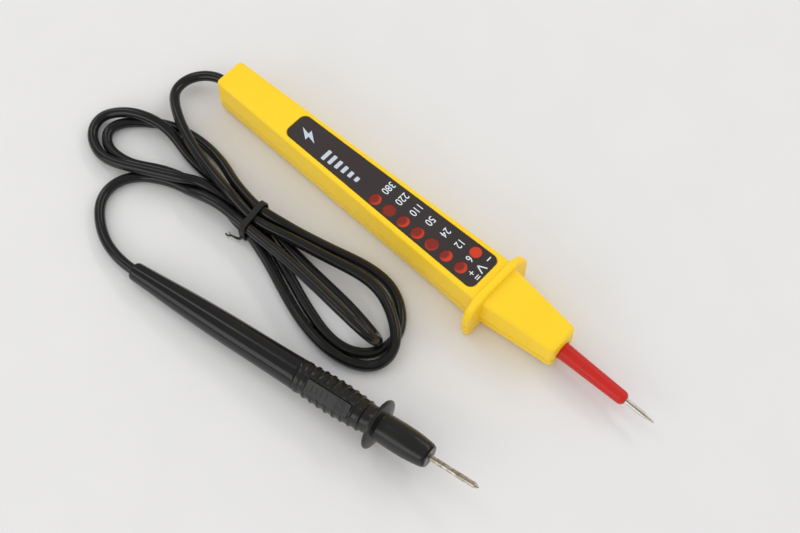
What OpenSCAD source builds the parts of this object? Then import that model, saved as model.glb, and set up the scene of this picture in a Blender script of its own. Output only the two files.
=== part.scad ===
// Two-pole contact voltage tester with a ladder of lamps, its lead and its test probe.
// +X points along the tester to its needle, +Z points up out of its face.
// The origin is on the flat underside of the handle, halfway along it.

/* [Housing] */
// Length of the handle, from its rear face to the finger guard
handle_length = 125; // [123:0.5:127]
// Length from the guard's rear face to the end of the nose
nose_length = 31; // [30:0.5:32]
// Thickness of the handle
housing_height = 16.4; // [16.2:0.1:17]
// Height of the parting line between the two shells
seam_height = 6.4; // [6.2:0.1:6.6]
// Width of the handle at its rear end
rear_width = 13.4; // [13:0.1:14]
// Width of the handle at the guard
front_width = 20; // [19.5:0.1:21]
// Width of the nose at its front end
nose_tip_width = 12.6; // [12:0.1:13.4]
// Thickness of the housing walls
wall = 1.6; // [1.4:0.1:1.8]

/* [Finger guard] */
// Width of the finger guard
guard_width = 31; // [28:0.5:34]
// Height of the finger guard
guard_height = 18.2; // [17.5:0.1:19]
// Thickness of the finger guard
guard_thickness = 3; // [2.6:0.1:3.2]

/* [Lamps] */
// Number of lamps in the voltage ladder
ladder_lamps = 7; // [5:1:7]
// Distance between two lamps of the ladder
lamp_pitch = 6.45; // [6.3:0.05:6.5]
// Diameter of a lamp
lamp_d = 5; // [4.8:0.1:5]
// Diameter of a window in the label
window_d = 5; // [4.6:0.1:5.2]

/* [Needles] */
// Diameter of both bare needles
needle_d = 2; // [1.8:0.1:2.2]
// Length of the red sleeve in front of the nose
sleeve_length = 26.4; // [24:0.2:29]
// Bare length of the tester's needle
needle_bare = 11.2; // [10:0.2:14]

/* [Test probe] */
// Length of the probe's smooth rear handle
probe_handle_length = 71.5; // [68:0.5:76]
// Distance from the seam to the middle of the probe's guard
probe_guard_place = 30.7; // [30:0.1:32]
// Diameter of the probe's guard
probe_guard_d = 17.8; // [17.4:0.1:17.9]
// Distance from the guard's middle to the end of the probe's nose
probe_nose_length = 19.3; // [18:0.1:21]
// Bare length of the probe's needle
probe_needle_bare = 18; // [16:0.5:20]

/* [Lead] */
// Diameter of the lead
lead_d = 3.8; // [3.6:0.1:3.8]

/* [Hidden] */
$fn = 48;

// Places along the tester
rear_x = -handle_length / 2;
guard_x = handle_length / 2;
nose_x = guard_x + nose_length;
sleeve_end_x = nose_x + sleeve_length;
needle_tip_x = sleeve_end_x + needle_bare;
draft = 0.5;              // how much narrower the handle is at its face than at the seam
edge_r = 1.4;             // rounding of the handle's upper edges
bottom_r = 2.4;           // rounding of the lower edges
nose_r = 1.8;             // rounding of the nose's edges
nose_top_rear = housing_height - 0.2;
nose_top_front = housing_height - 1.6;
nose_bottom_front = 1.4;
face_wall = 2;            // thickness of the wall under the label
nose_wall_x = nose_x - 7; // rear face of the nose's solid front
seam_big = 60;            // half size of the blocks that trim a solid at the seam

// Label and lamps
label_rear_x = -29;
label_front_x = 59.6;
label_rear_half = 5.2;
label_front_half = 7.3;
label_corner = 2.6;
recess = 0.45;
film_t = 0.15;
label_t = 0.2;
lamp_rear_x = 13;
lamp_y = -3.5;
polarity_place = [51.7, 4.1];
lamp_hole_d = 5.4;
lamp_rim_d = 5.8;
lamp_height = 8.6;
lamp_places = concat([for (i = [0:ladder_lamps - 1]) [lamp_rear_x + i * lamp_pitch, lamp_y]],
                     [polarity_place]);
lamp_pin_gap = 2.54;
pin_d = 0.5;
pin_hole_d = 0.9;

// Circuit board
board_z = 5;
board_t = 1.6;
board_top = board_z + board_t;
board_rear_x = -38;
board_front_x = 59;
board_gap = 0.4;
board_posts = [[-33, 3.6], [-33, -3.6], [0.5, 0], [57, 0]];
core_pad = [-35, -1];
needle_pad = [57.5, 3.5];
wire_d = 1.4;

// Screws
screw_places = [[-46, 2.8], [72, 0]];
screw_d = 2.2;
screw_head_d = 4.4;
screw_head_z = 2.2;
screw_top = 10.5;
boss_d = 5.2;
seat_boss_d = 7.2;

// Sleeve and needle
hidden_needle_d = 1.6;
sleeve_root_d = 6.1;
sleeve_tip_d = 4.9;
collar_d = 8;
collar_x = nose_wall_x - 2.4;
needle_root_x = 79;
needle_point = 5;

// Probe: its own X axis runs from the lead to the needle point
probe_place = [-34, -74.3, 3.6];
probe_pitch = 3.05;
probe_yaw = 7.85;
probe_guard_x = probe_handle_length + probe_guard_place;
probe_nose_x = probe_guard_x + probe_nose_length;
probe_tip_x = probe_nose_x + 0.8 + probe_needle_bare;
probe_rear_r = 3.3;
probe_seam_r = 5.5;
grip_r = 5.35;
rib_r = 5.9;
rib_count = 8;
rib_pitch = 3;
rib_length = 1.3;
rib_start = 3.6;
panel_turn = 35;         // how far the grip's flat panel faces away from the top
probe_bore_d = 4.1;
spigot_r = 4.1;
spigot_length = 7;
lead_end_length = 28;
crimp_x = 94;
probe_point = 1.8;

// Functions
function lerp(a, b, t) = a + (b - a) * t;
function along_handle(x) = (x - rear_x) / handle_length;
function half_width(x) = lerp(rear_width, front_width, along_handle(x)) / 2;
function nose_half(x) = lerp(front_width - 1, nose_tip_width, (x - guard_x) / nose_length) / 2;
function board_half(x) = half_width(x) - wall - board_gap;
function arc(c, r, a0, a1, n) =
    [for (i = [0:n]) let (a = lerp(a0, a1, i / n)) c + r * [cos(a), sin(a)]];
function unit(v) = v / norm(v);
function mirror_y(points) = [for (i = [len(points) - 1:-1:0]) [-points[i][0], points[i][1]]];
probe_axis = [cos(probe_pitch) * cos(probe_yaw), cos(probe_pitch) * sin(probe_yaw),
              sin(probe_pitch)];

// Route of the lead: out of the rear face, through the tie six times, into the probe.
// Each pass through the tie has its own slot: far, middle or near, upper or lower.
far_low = [-17.5, -29.5, 3];
far_high = [-17.5, -29.5, 7];
mid_low = [-17, -33.5, 3];
mid_high = [-17, -33.5, 7];
near_low = [-16.5, -37.5, 3];
near_high = [-16.5, -37.5, 7];
exit_run = [[rear_x, 0, 6.4], [-68.8, -0.5, 6], [-74.4, -3.3, 5], [-77.8, -8.2, 4.2],
            [-77.3, -14, 4.4], [-73.2, -18.4, 5.3], [-67.8, -21.7, 6.3], [-61.9, -24.5, 6.9],
            [-55.7, -26.8, 7.3], [-49.4, -28.6, 7.5], [-43, -30.1, 7.8], [-36.2, -31.5, 8.6],
            [-29.3, -32.8, 9.5], [-23, -33.5, 8.6], mid_high];
right_loop_1 = [[-10.7, -32.7, 6.9], [-4.3, -31.2, 7.1], [1.9, -29.7, 6.9], [8.2, -28.3, 6.7],
                [14.5, -26.8, 6.4], [20.8, -25.3, 6.2], [27.2, -24.3, 6.1], [33.6, -24.6, 6.3],
                [39.7, -26.5, 6.5], [45.3, -29.6, 6.5], [50, -33.7, 6], [52.2, -39, 4.3],
                [50.4, -44.3, 2.5], [45.6, -48.1, 2.2], [39.7, -50.2, 3], [33.3, -50.8, 3.3],
                [26.7, -50.1, 2.8], [20.1, -48.7, 2.3], [13.8, -46.8, 2], [7.7, -44.7, 2.1],
                [1.6, -42.5, 2.3], [-4.4, -40.5, 2.7], [-10.6, -38.8, 3.1], near_low];
left_loop_1 = [[-23.7, -36.6, 2.1], [-30.3, -35.2, 2], [-36.5, -35.3, 1.9], [-42.9, -36.3, 1.9],
               [-49.4, -37.3, 1.9], [-55.7, -39.3, 1.9], [-61.6, -42.3, 1.9], [-67.3, -45.3, 1.9],
               [-73.6, -46.7, 1.9], [-79.7, -45.9, 2], [-83.6, -41.9, 2.4], [-82.7, -36.3, 2.1],
               [-78.5, -31.6, 1.9], [-73.3, -27.7, 2], [-67.4, -24.8, 2.1], [-61.1, -23.2, 2.1],
               [-54.6, -22.6, 2.1], [-48.1, -23, 2.4], [-41.8, -24.3, 3.4], [-35.8, -26.3, 4.8],
               [-29.5, -28.1, 6.1], [-23.3, -29.2, 6.8], far_high];
right_loop_2 = [[-10.5, -28.4, 6.4], [-4, -26.9, 5.3], [2.2, -25.2, 4.3], [8.4, -23.3, 3.3],
                [14.6, -21.4, 2.6], [20.9, -19.7, 2.2], [27.4, -18.8, 2.1], [33.8, -19.2, 2.1],
                [39.8, -21.5, 2], [44.9, -25.5, 2], [48.2, -30.8, 1.9], [48.4, -37.1, 1.9],
                [45.4, -42.6, 1.9], [40.1, -45.9, 1.9], [33.9, -46.9, 1.9], [27.5, -46.2, 1.9],
                [21.2, -44.6, 1.9], [15, -42.7, 1.9], [8.8, -40.5, 2], [2.6, -38.4, 2],
                [-3.7, -36.4, 2.2], [-10.1, -34.7, 2.5], mid_low];
left_loop_2 = [[-22.5, -33.3, 4.1], [-28.5, -34.1, 5.6], [-35.3, -34.8, 6], [-41.6, -36.2, 6.7],
               [-47.1, -39.4, 7.5], [-52.7, -42.2, 7.1], [-58.6, -44.9, 6.4], [-64.9, -47.6, 5.3],
               [-71.2, -49.9, 4.2], [-77.7, -50.6, 3.1], [-83.8, -48.9, 2.3], [-88.5, -45.1, 2.3],
               [-89.5, -39.8, 3.1], [-86, -35.2, 4.6], [-80.7, -31.9, 6], [-74.8, -29.5, 6.1],
               [-68.5, -28.2, 5.3], [-62.2, -28.4, 4.1], [-55.9, -29.5, 2.9], [-49.5, -30.2, 2.2],
               [-43, -30.3, 2], [-36.5, -30, 2], [-30, -29.6, 2.1], [-23.6, -29.3, 2.5], far_low];
right_loop_3 = [[-10.6, -30.3, 2.6], [-4, -31.5, 2.4], [2.6, -32.3, 2.2], [9.1, -32.9, 2.1],
                [15.6, -33.3, 2], [22.2, -33.7, 2], [28.7, -34.2, 2], [35.3, -35.1, 2.2],
                [41.6, -36.4, 3.2], [46, -38.3, 6.4], [46.2, -40.5, 11.3], [41.8, -41.6, 14.5],
                [35.5, -41.4, 15], [29.1, -40.8, 14.2], [22.7, -40, 13.1], [16.3, -39.3, 11.8],
                [9.9, -38.6, 10.6], [3.4, -38.1, 9.4], [-3.1, -37.8, 8.4], [-9.7, -37.6, 7.4],
                near_high];
probe_run = [[-22.7, -37.5, 6.9], [-28.8, -37.9, 7.5], [-35.3, -38.9, 6.8], [-42.2, -39.9, 4.5],
             [-48.7, -41.1, 3.4], [-54.7, -43.3, 2.7], [-60.3, -46.5, 2], [-64.3, -51.5, 2.1],
             [-65.5, -57.8, 2.3], [-63.5, -63.7, 2.2], [-59, -68.3, 2], [-53.3, -71.7, 2.1],
             [-47.1, -73.8, 2.7], [-40.6, -74.6, 3.2], probe_place];
hank_route = concat(exit_run, right_loop_1, left_loop_1, right_loop_2, left_loop_2, right_loop_3);
route = concat(hank_route, probe_run);
hank_last = len(hank_route) - 1;
route_last = len(route) - 1;

join_heading = unit(route[hank_last + 1] - route[hank_last - 1]);

function headings(path, start, finish) = [for (i = [0:len(path) - 1])
    i == 0 ? start : i == len(path) - 1 ? finish : unit(path[i + 1] - path[i - 1])];

// One ring of a swept tube: its sides are counted from a direction square to up_hint
function ring(centre, ahead, r, sides, up_hint) =
    let (side = unit(cross(ahead, up_hint)), up = cross(side, ahead))
    [for (k = [0:sides - 1]) let (a = (k + 0.5) * 360 / sides)
        centre + r * (cos(a) * side + sin(a) * up)];

// Tie round the six strands
tie_place = [-17, -33.5, 5];
tie_turn = 8;
tie_half_w = 6.6;
tie_half_h = 4.2;
tie_t = 0.6;
tie_width = 2.2;
tie_corner = 2;
tie_tail_d = 1.2;

// ---- Shared shapes ----

// Everything above or below the seam, for trimming a solid that crosses it
module above_seam() {
    translate([-3 * seam_big, -seam_big, seam_height]) cube([6 * seam_big, 2 * seam_big, seam_big]);
}

module below_seam() {
    translate([-3 * seam_big, -seam_big, seam_height - seam_big])
        cube([6 * seam_big, 2 * seam_big, seam_big]);
}

// A round bar between two points, cut square at both ends
module bar(a, b, d) {
    v = b - a;
    turn = [0, acos(v[2] / norm(v)), atan2(v[1], v[0])];
    translate(a) rotate(turn) cylinder(h = norm(v), d = d, $fn = 24);
}

// A tube swept along a path, square to start and finish at its two ends
module swept(path, start, finish, d, sides, up_hint) {
    ways = headings(path, start, finish);
    count = len(path);
    points = [for (i = [0:count - 1]) each ring(path[i], ways[i], d / 2, sides, up_hint)];
    skin = [for (j = [0:count - 2], k = [0:sides - 1]) let (n = (k + 1) % sides)
        [j * sides + k, j * sides + n, (j + 1) * sides + n, (j + 1) * sides + k]];
    ends = [[for (k = [sides - 1:-1:0]) k], [for (k = [0:sides - 1]) (count - 1) * sides + k]];
    polyhedron(points, concat(skin, ends), convexity = 12);
}

module along_x(x, y, z) {
    translate([x, y, z]) rotate([0, 90, 0]) children();
}

// Corner balls and discs whose hull is one half of the handle
module handle_upper() {
    hull() {
        for (x = [rear_x + edge_r, guard_x + 1], s = [-1, 1])
            translate([x, s * (half_width(x) - draft - edge_r), housing_height - edge_r])
                sphere(r = edge_r, $fn = 32);
        for (x = [rear_x + edge_r, guard_x + 1], s = [-1, 1])
            translate([x, s * (half_width(x) - edge_r), seam_height])
                cylinder(r = edge_r, h = 1, $fn = 32);
    }
}

module handle_lower() {
    hull() {
        for (x = [rear_x + bottom_r + 0.8, guard_x + 1], s = [-1, 1])
            translate([x, s * (half_width(x) - draft - bottom_r), bottom_r])
                sphere(r = bottom_r, $fn = 32);
        for (x = [rear_x + edge_r, guard_x + 1], s = [-1, 1])
            translate([x, s * (half_width(x) - edge_r), seam_height - 1])
                cylinder(r = edge_r, h = 1, $fn = 32);
    }
}

module nose_upper() {
    hull() {
        for (s = [-1, 1]) {
            translate([guard_x + 1, s * (nose_half(guard_x) - draft - edge_r), nose_top_rear - edge_r])
                sphere(r = edge_r, $fn = 32);
            translate([nose_x - nose_r - 0.3, s * (nose_half(nose_x) - draft - nose_r),
                       nose_top_front - nose_r]) sphere(r = nose_r, $fn = 32);
            translate([guard_x + 1, s * (nose_half(guard_x) - edge_r), seam_height])
                cylinder(r = edge_r, h = 1, $fn = 32);
            translate([nose_x - nose_r, s * (nose_half(nose_x) - nose_r), seam_height])
                cylinder(r = nose_r, h = 1, $fn = 32);
        }
    }
}

module nose_lower() {
    hull() {
        for (s = [-1, 1]) {
            translate([guard_x + 1, s * (nose_half(guard_x) - draft - bottom_r), bottom_r + 0.2])
                sphere(r = bottom_r, $fn = 32);
            translate([nose_x - nose_r - 0.8, s * (nose_half(nose_x) - draft - nose_r),
                       nose_bottom_front + nose_r]) sphere(r = nose_r, $fn = 32);
            translate([guard_x + 1, s * (nose_half(guard_x) - edge_r), seam_height - 1])
                cylinder(r = edge_r, h = 1, $fn = 32);
            translate([nose_x - nose_r, s * (nose_half(nose_x) - nose_r), seam_height - 1])
                cylinder(r = nose_r, h = 1, $fn = 32);
        }
    }
}

// Finger guard: flat foot, straight cheeks and broad round shoulders
module guard_plate() {
    shoulder = 9;
    foot = 2;
    side = concat(arc([guard_width / 2 - foot, foot], foot, -90, 0, 8),
                  arc([guard_width / 2 - shoulder, guard_height - shoulder], shoulder, 0, 90, 14));
    translate([guard_x, 0, 0]) rotate([90, 0, 90]) linear_extrude(guard_thickness)
        polygon(concat(side, mirror_y(side)));
}

// Hollow of both shells, from z0 to z1 in the handle and n0 to n1 in the nose
module hollow(z0, z1, n0, n1) {
    back = rear_x + wall;
    front = nose_wall_x;
    translate([0, 0, z0]) linear_extrude(z1 - z0) polygon([
        [back, -half_width(back) + wall], [guard_x, -half_width(guard_x) + wall],
        [guard_x, half_width(guard_x) - wall], [back, half_width(back) - wall]]);
    translate([0, 0, n0]) linear_extrude(n1 - n0) polygon([
        [guard_x - 1, -nose_half(guard_x) + wall + 0.2], [front, -nose_half(front) + wall + 0.2],
        [front, nose_half(front) - wall - 0.2], [guard_x - 1, nose_half(guard_x) - wall - 0.2]]);
}

// Holes that both shells share: the lead's, the sleeve's
module end_holes() {
    along_x(rear_x - 1, 0, seam_height) cylinder(h = wall + 2, d = lead_d + 0.4);
    along_x(nose_wall_x - 1, 0, seam_height)
        cylinder(h = nose_x - nose_wall_x + 2, d = sleeve_root_d + 0.5);
}

// Outline of the label, grown by g all round
module label_outline(g) {
    r = label_corner + g;
    rear_side = label_rear_half + g - r;
    front_side = label_front_half + g - r;
    side = concat(arc([label_front_x + g - r, front_side], r, 0, 90, 8),
                  arc([label_rear_x - g + r, rear_side], r, 90, 180, 8));
    polygon(concat(side, [for (i = [len(side) - 1:-1:0]) [side[i][0], -side[i][1]]]));
}

// ---- Housing ----

module upper_shell() {
    color([1, 0.84, 0.12]) difference() {
        union() {
            difference() {
                union() {
                    handle_upper();
                    nose_upper();
                    intersection() { guard_plate(); above_seam(); }
                }
                hollow(seam_height - 1, housing_height - face_wall,
                       seam_height - 1, nose_top_front - wall);
            }
            for (p = screw_places) translate([p[0], p[1], seam_height])
                cylinder(h = housing_height - face_wall - seam_height + 0.4, d = boss_d);
        }
        end_holes();
        translate([0, 0, housing_height - recess]) linear_extrude(1) label_outline(0.1);
        for (p = lamp_places) translate([p[0], p[1], housing_height - face_wall - 1])
            cylinder(h = face_wall + 2, d = lamp_hole_d);
        for (p = screw_places) translate([p[0], p[1], seam_height - 1])
            cylinder(h = screw_top - seam_height + 1.4, d = screw_d + 0.1);
    }
}

module lower_shell() {
    color([1, 0.8, 0.08]) difference() {
        union() {
            difference() {
                union() {
                    handle_lower();
                    nose_lower();
                    intersection() { guard_plate(); below_seam(); }
                }
                hollow(wall, seam_height + 1, 2.4, seam_height + 1);
            }
            for (p = screw_places) translate([p[0], p[1], 1])
                cylinder(h = seam_height - 1, d = seat_boss_d);
            for (p = board_posts) translate([p[0], p[1], 1])
                cylinder(h = board_z - 1, d = 2.4);
        }
        end_holes();
        for (p = screw_places) translate([p[0], p[1], -1]) {
            cylinder(h = screw_head_z + 1, d = screw_head_d + 0.6);
            cylinder(h = seam_height + 2, d = screw_d + 0.4);
        }
    }
}

module housing_screws() {
    color([0.75, 0.75, 0.72]) for (p = screw_places) translate([p[0], p[1], 0]) {
        difference() {
            translate([0, 0, 0.7]) cylinder(h = screw_head_z - 0.7, d = screw_head_d);
            translate([-1.6, -0.25, 0.5]) cube([3.2, 0.5, 0.9]);
            translate([-0.25, -1.6, 0.5]) cube([0.5, 3.2, 0.9]);
        }
        translate([0, 0, screw_head_z]) cylinder(h = screw_top - screw_head_z, d = screw_d);
    }
}

// ---- Face ----

module window_film() {
    color([0.75, 0.2, 0.15]) translate([0, 0, housing_height - recess])
        linear_extrude(film_t) label_outline(-0.1);
}

module face_label() {
    color([0.25, 0.23, 0.23]) translate([0, 0, housing_height - recess + film_t])
        difference() {
            linear_extrude(label_t) label_outline(0);
            for (p = lamp_places) translate([p[0], p[1], -1]) cylinder(h = 3, d = window_d);
        }
}

// ---- Electronics ----

module led(place) {
    color([0.85, 0.1, 0.08]) translate([place[0], place[1], board_top]) {
        cylinder(h = 1, d = lamp_rim_d);
        cylinder(h = lamp_height - lamp_d / 2, d = lamp_d);
        translate([0, 0, lamp_height - lamp_d / 2]) sphere(d = lamp_d);
        for (s = [-1, 1]) translate([s * lamp_pin_gap / 2, 0, -2.8]) cylinder(h = 3, d = pin_d, $fn = 24);
    }
}

// A part with two bent legs: r and l are its body's radius and length
module legged(place, turn, r, l, span, tint) {
    rise = r + 0.3;
    color(tint) translate([place[0], place[1], board_top]) rotate([0, 0, turn]) {
        translate([-l / 2, 0, rise]) rotate([0, 90, 0]) cylinder(h = l, r = r);
        for (s = [-1, 1]) {
            bar([s * (l / 2 - 0.2), 0, rise], [s * span / 2, 0, rise], pin_d);
            translate([s * span / 2, 0, rise]) sphere(d = pin_d, $fn = 24);
            bar([s * span / 2, 0, rise], [s * span / 2, 0, -2.8], pin_d);
        }
    }
}

ladder_span = 5.2;
input_span = 12.4;
diode_span = 8.2;
input_places = [[-21, 2.5], [-21, -2.5]];
diode_places = [[-5.5, 2.5], [-5.5, -2.5]];
function resistor_place(i) = [lamp_rear_x + (i - 2) * lamp_pitch, 2.9];

module resistor(i) {
    legged(resistor_place(i), 90, 1, 4, ladder_span, [0.8, 0.68, 0.5]);
}

module input_resistor(i) {
    legged(input_places[i - 1], 0, 1.8, 9, input_span, [0.35, 0.5, 0.6]);
}

module diode(i) {
    legged(diode_places[i - 1], 0, 1.3, 5.2, diode_span, [0.12, 0.12, 0.12]);
}

// Two holes under a part with legs, along X unless turned
module leg_holes(place, span, turn) {
    translate([place[0], place[1], 0]) rotate([0, 0, turn]) for (s = [-1, 1])
        translate([s * span / 2, 0, -1]) cylinder(h = board_t + 2, d = pin_hole_d, $fn = 24);
}

module circuit_board() {
    color([0.1, 0.42, 0.2]) translate([0, 0, board_z]) difference() {
        linear_extrude(board_t) polygon([
            [board_rear_x, -board_half(board_rear_x)], [board_front_x, -board_half(board_front_x)],
            [board_front_x, board_half(board_front_x)], [board_rear_x, board_half(board_rear_x)]]);
        for (p = lamp_places) leg_holes(p, lamp_pin_gap, 0);
        for (i = [1:7]) leg_holes(resistor_place(i), ladder_span, 90);
        for (p = input_places) leg_holes(p, input_span, 0);
        for (p = diode_places) leg_holes(p, diode_span, 0);
    }
}

module core_wire() {
    path = [[-50, 0, seam_height], [-48.8, -0.8, seam_height], [-47.6, -2.2, seam_height + 0.2],
            [-45.5, -2.8, seam_height + 0.7], [-41, -2.6, 7.8], [-37, -1.6, 8.3],
            [core_pad[0] - 0.6, core_pad[1], 8.1], [core_pad[0], core_pad[1], 7.5],
            [core_pad[0], core_pad[1], board_top]];
    color([0.1, 0.1, 0.1]) swept(path, [1, 0, 0], [0, 0, -1], wire_d, 10, [0, 1, 0]);
}

module needle_wire() {
    path = [[81, 0, seam_height + 1.6], [81, 0.2, 9], [80.2, 1.4, 9.7], [78, 3.4, 9.6],
            [75, 4.6, 9], [68, 4.8, 8.8], [61, 4.2, 8.9], [needle_pad[0] + 0.8, needle_pad[1], 8.6],
            [needle_pad[0], needle_pad[1], 7.8], [needle_pad[0], needle_pad[1], board_top]];
    color([0.8, 0.1, 0.1]) swept(path, [0, 0, 1], [0, 0, -1], wire_d, 10, [0, 1, 0]);
}

// ---- Needle end ----

module needle_sleeve() {
    rear = nose_x + 0.2;
    tip_r = sleeve_tip_d / 2;
    root_r = sleeve_root_d / 2;
    color([0.78, 0.14, 0.12]) translate([0, 0, seam_height]) rotate([0, 90, 0])
        rotate_extrude() polygon(concat(
            [[hidden_needle_d / 2 + 0.02, collar_x], [collar_d / 2, collar_x],
             [collar_d / 2, nose_wall_x - 0.1], [root_r, nose_wall_x - 0.1], [root_r, rear]],
            arc([tip_r - 1.8, sleeve_end_x - 1.8], 1.8, 0, 90, 8),
            [[hidden_needle_d / 2 + 0.02, sleeve_end_x]]));
}

module tester_needle() {
    straight = needle_tip_x - needle_point;
    color([0.8, 0.78, 0.7]) difference() {
        along_x(0, 0, seam_height) {
            translate([0, 0, needle_root_x])
                cylinder(h = sleeve_end_x - needle_root_x + 0.2, d = hidden_needle_d);
            translate([0, 0, sleeve_end_x + 0.05])
                cylinder(h = straight - sleeve_end_x - 0.05, d = needle_d);
            translate([0, 0, straight])
                cylinder(h = needle_point, r1 = needle_d / 2, r2 = 0.25);
        }
        translate([needle_tip_x, -0.1, seam_height - 2]) rotate([0, 0, 10])
            translate([-8, -4, 0]) cube([9, 4, 4]);
    }
}

module needle_contact() {
    color([0.8, 0.65, 0.3]) difference() {
        along_x(needle_root_x + 0.2, 0, seam_height) cylinder(h = 3.6, d = 3.8);
        along_x(needle_root_x - 1, 0, seam_height) cylinder(h = 7, d = hidden_needle_d + 0.04);
    }
}

// ---- Lead ----

module lead_root() {
    color([0.16, 0.16, 0.16]) along_x(rear_x, 0, seam_height)
        cylinder(h = -50 - rear_x, d = lead_d);
}

module inner_tie() {
    color([0.85, 0.85, 0.8]) difference() {
        union() {
            along_x(rear_x + 5, 0, seam_height) cylinder(h = 2.6, d = lead_d + 2);
            translate([rear_x + 4.6, -2, seam_height + 2]) cube([3.4, 4, 2.6]);
        }
        along_x(rear_x, 0, seam_height) cylinder(h = 12, d = lead_d + 0.04);
    }
}

module lead_hank() {
    color([0.16, 0.16, 0.16])
        swept(hank_route, [-1, 0, 0], join_heading, lead_d * 1.02, 8, [0, 0, 1]);
}

module lead_tail() {
    color([0.16, 0.16, 0.16]) swept(concat([near_high], probe_run), join_heading, probe_axis,
                                    lead_d * 1.02, 8, [0, 0, 1]);
}

module tie_outline(g) {
    r = tie_corner + g;
    w = tie_half_w + g - r;
    h = tie_half_h + g - r;
    polygon(concat(arc([w, h], r, 0, 90, 6), arc([-w, h], r, 90, 180, 6),
                   arc([-w, -h], r, 180, 270, 6), arc([w, -h], r, 270, 360, 6)));
}

module twist_tie() {
    color([0.2, 0.2, 0.19]) {
        translate(tie_place) rotate([0, 0, tie_turn]) rotate([90, 0, 90])
            translate([0, 0, -tie_width / 2]) linear_extrude(tie_width) difference() {
                tie_outline(tie_t);
                tie_outline(0);
            }
        swept([[-16.3, -40.45, 2.8], [-18, -41.7, 1.8], [-21, -42.7, 1.2], [-24, -43.2, 1.1]],
              [-0.7, -0.6, -0.4], [-1, 0, 0], tie_tail_d, 8, [0, 0, 1]);
    }
}

// ---- Test probe ----

module on_probe() {
    translate(probe_place) rotate([0, -probe_pitch, probe_yaw]) children();
}

// A turned shape on the probe's axis, from points [radius, distance along it]
module turned(points) {
    on_probe() rotate([0, 90, 0]) rotate_extrude() polygon(points);
}

module probe_handle() {
    l = probe_handle_length;
    bore = probe_bore_d / 2;
    color([0.13, 0.13, 0.14]) turned(concat(
        [[bore, 0], [probe_rear_r - 1, 0]], arc([probe_rear_r - 1, 1], 1, -60, 0, 4),
        [[3.6, 7], [4.3, 20], [4.75, 30], [5.05, 40], [5.2, 50], [5.3, 62],
         [probe_seam_r, l - 0.6], [probe_seam_r - 0.3, l],
         [spigot_r + 0.1, l], [spigot_r + 0.1, l - spigot_length - 0.3],
         [bore + 0.5, l - spigot_length - 0.3], [bore + 0.5, lead_end_length + 1],
         [bore, lead_end_length + 1]]));
}

module probe_grip() {
    l = probe_handle_length;
    g = probe_guard_x;
    gr = probe_guard_d / 2;
    n = probe_nose_x;
    bore = hidden_needle_d / 2 + 0.02;
    color([0.17, 0.17, 0.18]) {
        turned([[3, l - spigot_length], [spigot_r, l - spigot_length], [spigot_r, l + 0.05],
            [grip_r, l + 0.05], [grip_r, g - 1.5], [gr - 0.5, g - 1.5], [gr, g - 1], [gr, g + 1],
            [gr - 0.5, g + 1.5], [5, g + 1.5], [5.1, g + 6], [5.1, g + 11], [4.9, g + 14],
            [4.5, g + 18], [4.3, n], [2.9, n], [2.9, n - 4.1], [bore, n - 4.1], [bore, g + 4], [3, g + 1]]);
        for (i = [0:rib_count - 1]) turned([[grip_r - 0.3, l + rib_start + i * rib_pitch],
            [rib_r - 0.2, l + rib_start + i * rib_pitch], [rib_r, l + rib_start + i * rib_pitch + 0.3],
            [rib_r, l + rib_start + i * rib_pitch + rib_length - 0.3],
            [rib_r - 0.2, l + rib_start + i * rib_pitch + rib_length],
            [grip_r - 0.3, l + rib_start + i * rib_pitch + rib_length]]);
        on_probe() rotate([panel_turn, 0, 0]) translate([l + rib_start + 1, -2.5, 4.2])
            cube([6 * rib_pitch - 1, 5, 1.35]);
    }
}

module probe_bush() {
    n = probe_nose_x;
    bore = hidden_needle_d / 2 + 0.02;
    color([0.13, 0.13, 0.14]) turned([[bore, n - 4], [2.8, n - 4], [2.8, n + 0.05], [4.1, n + 0.05],
        [3.9, n + 0.7], [bore, n + 0.7]]);
}

module probe_needle() {
    n = probe_nose_x + 0.75;
    straight = probe_tip_x - probe_point;
    color([0.84, 0.82, 0.76]) turned([[0, crimp_x + 3], [hidden_needle_d / 2, crimp_x + 3],
        [hidden_needle_d / 2, n], [needle_d / 2, n], [needle_d / 2, straight],
        [0.15, probe_tip_x], [0, probe_tip_x]]);
}

module probe_crimp() {
    bore = hidden_needle_d / 2 + 0.02;
    color([0.8, 0.65, 0.3]) turned([[bore, crimp_x], [1.7, crimp_x], [1.7, crimp_x + 7],
        [bore, crimp_x + 7]]);
}

module probe_core() {
    color([0.72, 0.4, 0.2]) turned([[0, lead_end_length], [0.8, lead_end_length],
        [0.8, crimp_x + 2.9], [0, crimp_x + 2.9]]);
}

module probe_lead_end() {
    color([0.16, 0.16, 0.16]) turned([[0, 0], [lead_d / 2, 0], [lead_d / 2, lead_end_length],
        [0, lead_end_length]]);
}

upper_shell();
lower_shell();
face_label();
window_film();
circuit_board();
led(polarity_place);  // led_polarity
for (i = [1:ladder_lamps]) led(lamp_places[i - 1]);
for (i = [1:7]) resistor(i);
for (i = [1:2]) input_resistor(i);
for (i = [1:2]) diode(i);
tester_needle();
needle_sleeve();
needle_contact();
needle_wire();
core_wire();
housing_screws();
lead_root();
inner_tie();
lead_hank();
lead_tail();
twist_tie();
probe_handle();
probe_grip();
probe_bush();
probe_needle();
probe_crimp();
probe_core();
probe_lead_end();
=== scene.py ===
"""Looks of a contact voltage tester: yellow wand, red-sleeved needle, folded lead and test probe.

Meshes are shaped in millimetres on the bench and handed over in metres.
"""
import logging
import math
from contextlib import contextmanager
from dataclasses import dataclass, field
from enum import Enum
from typing import Callable, Iterator, Sequence

import bmesh
import bpy
import numpy as np
from mathutils import Matrix, Vector


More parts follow.
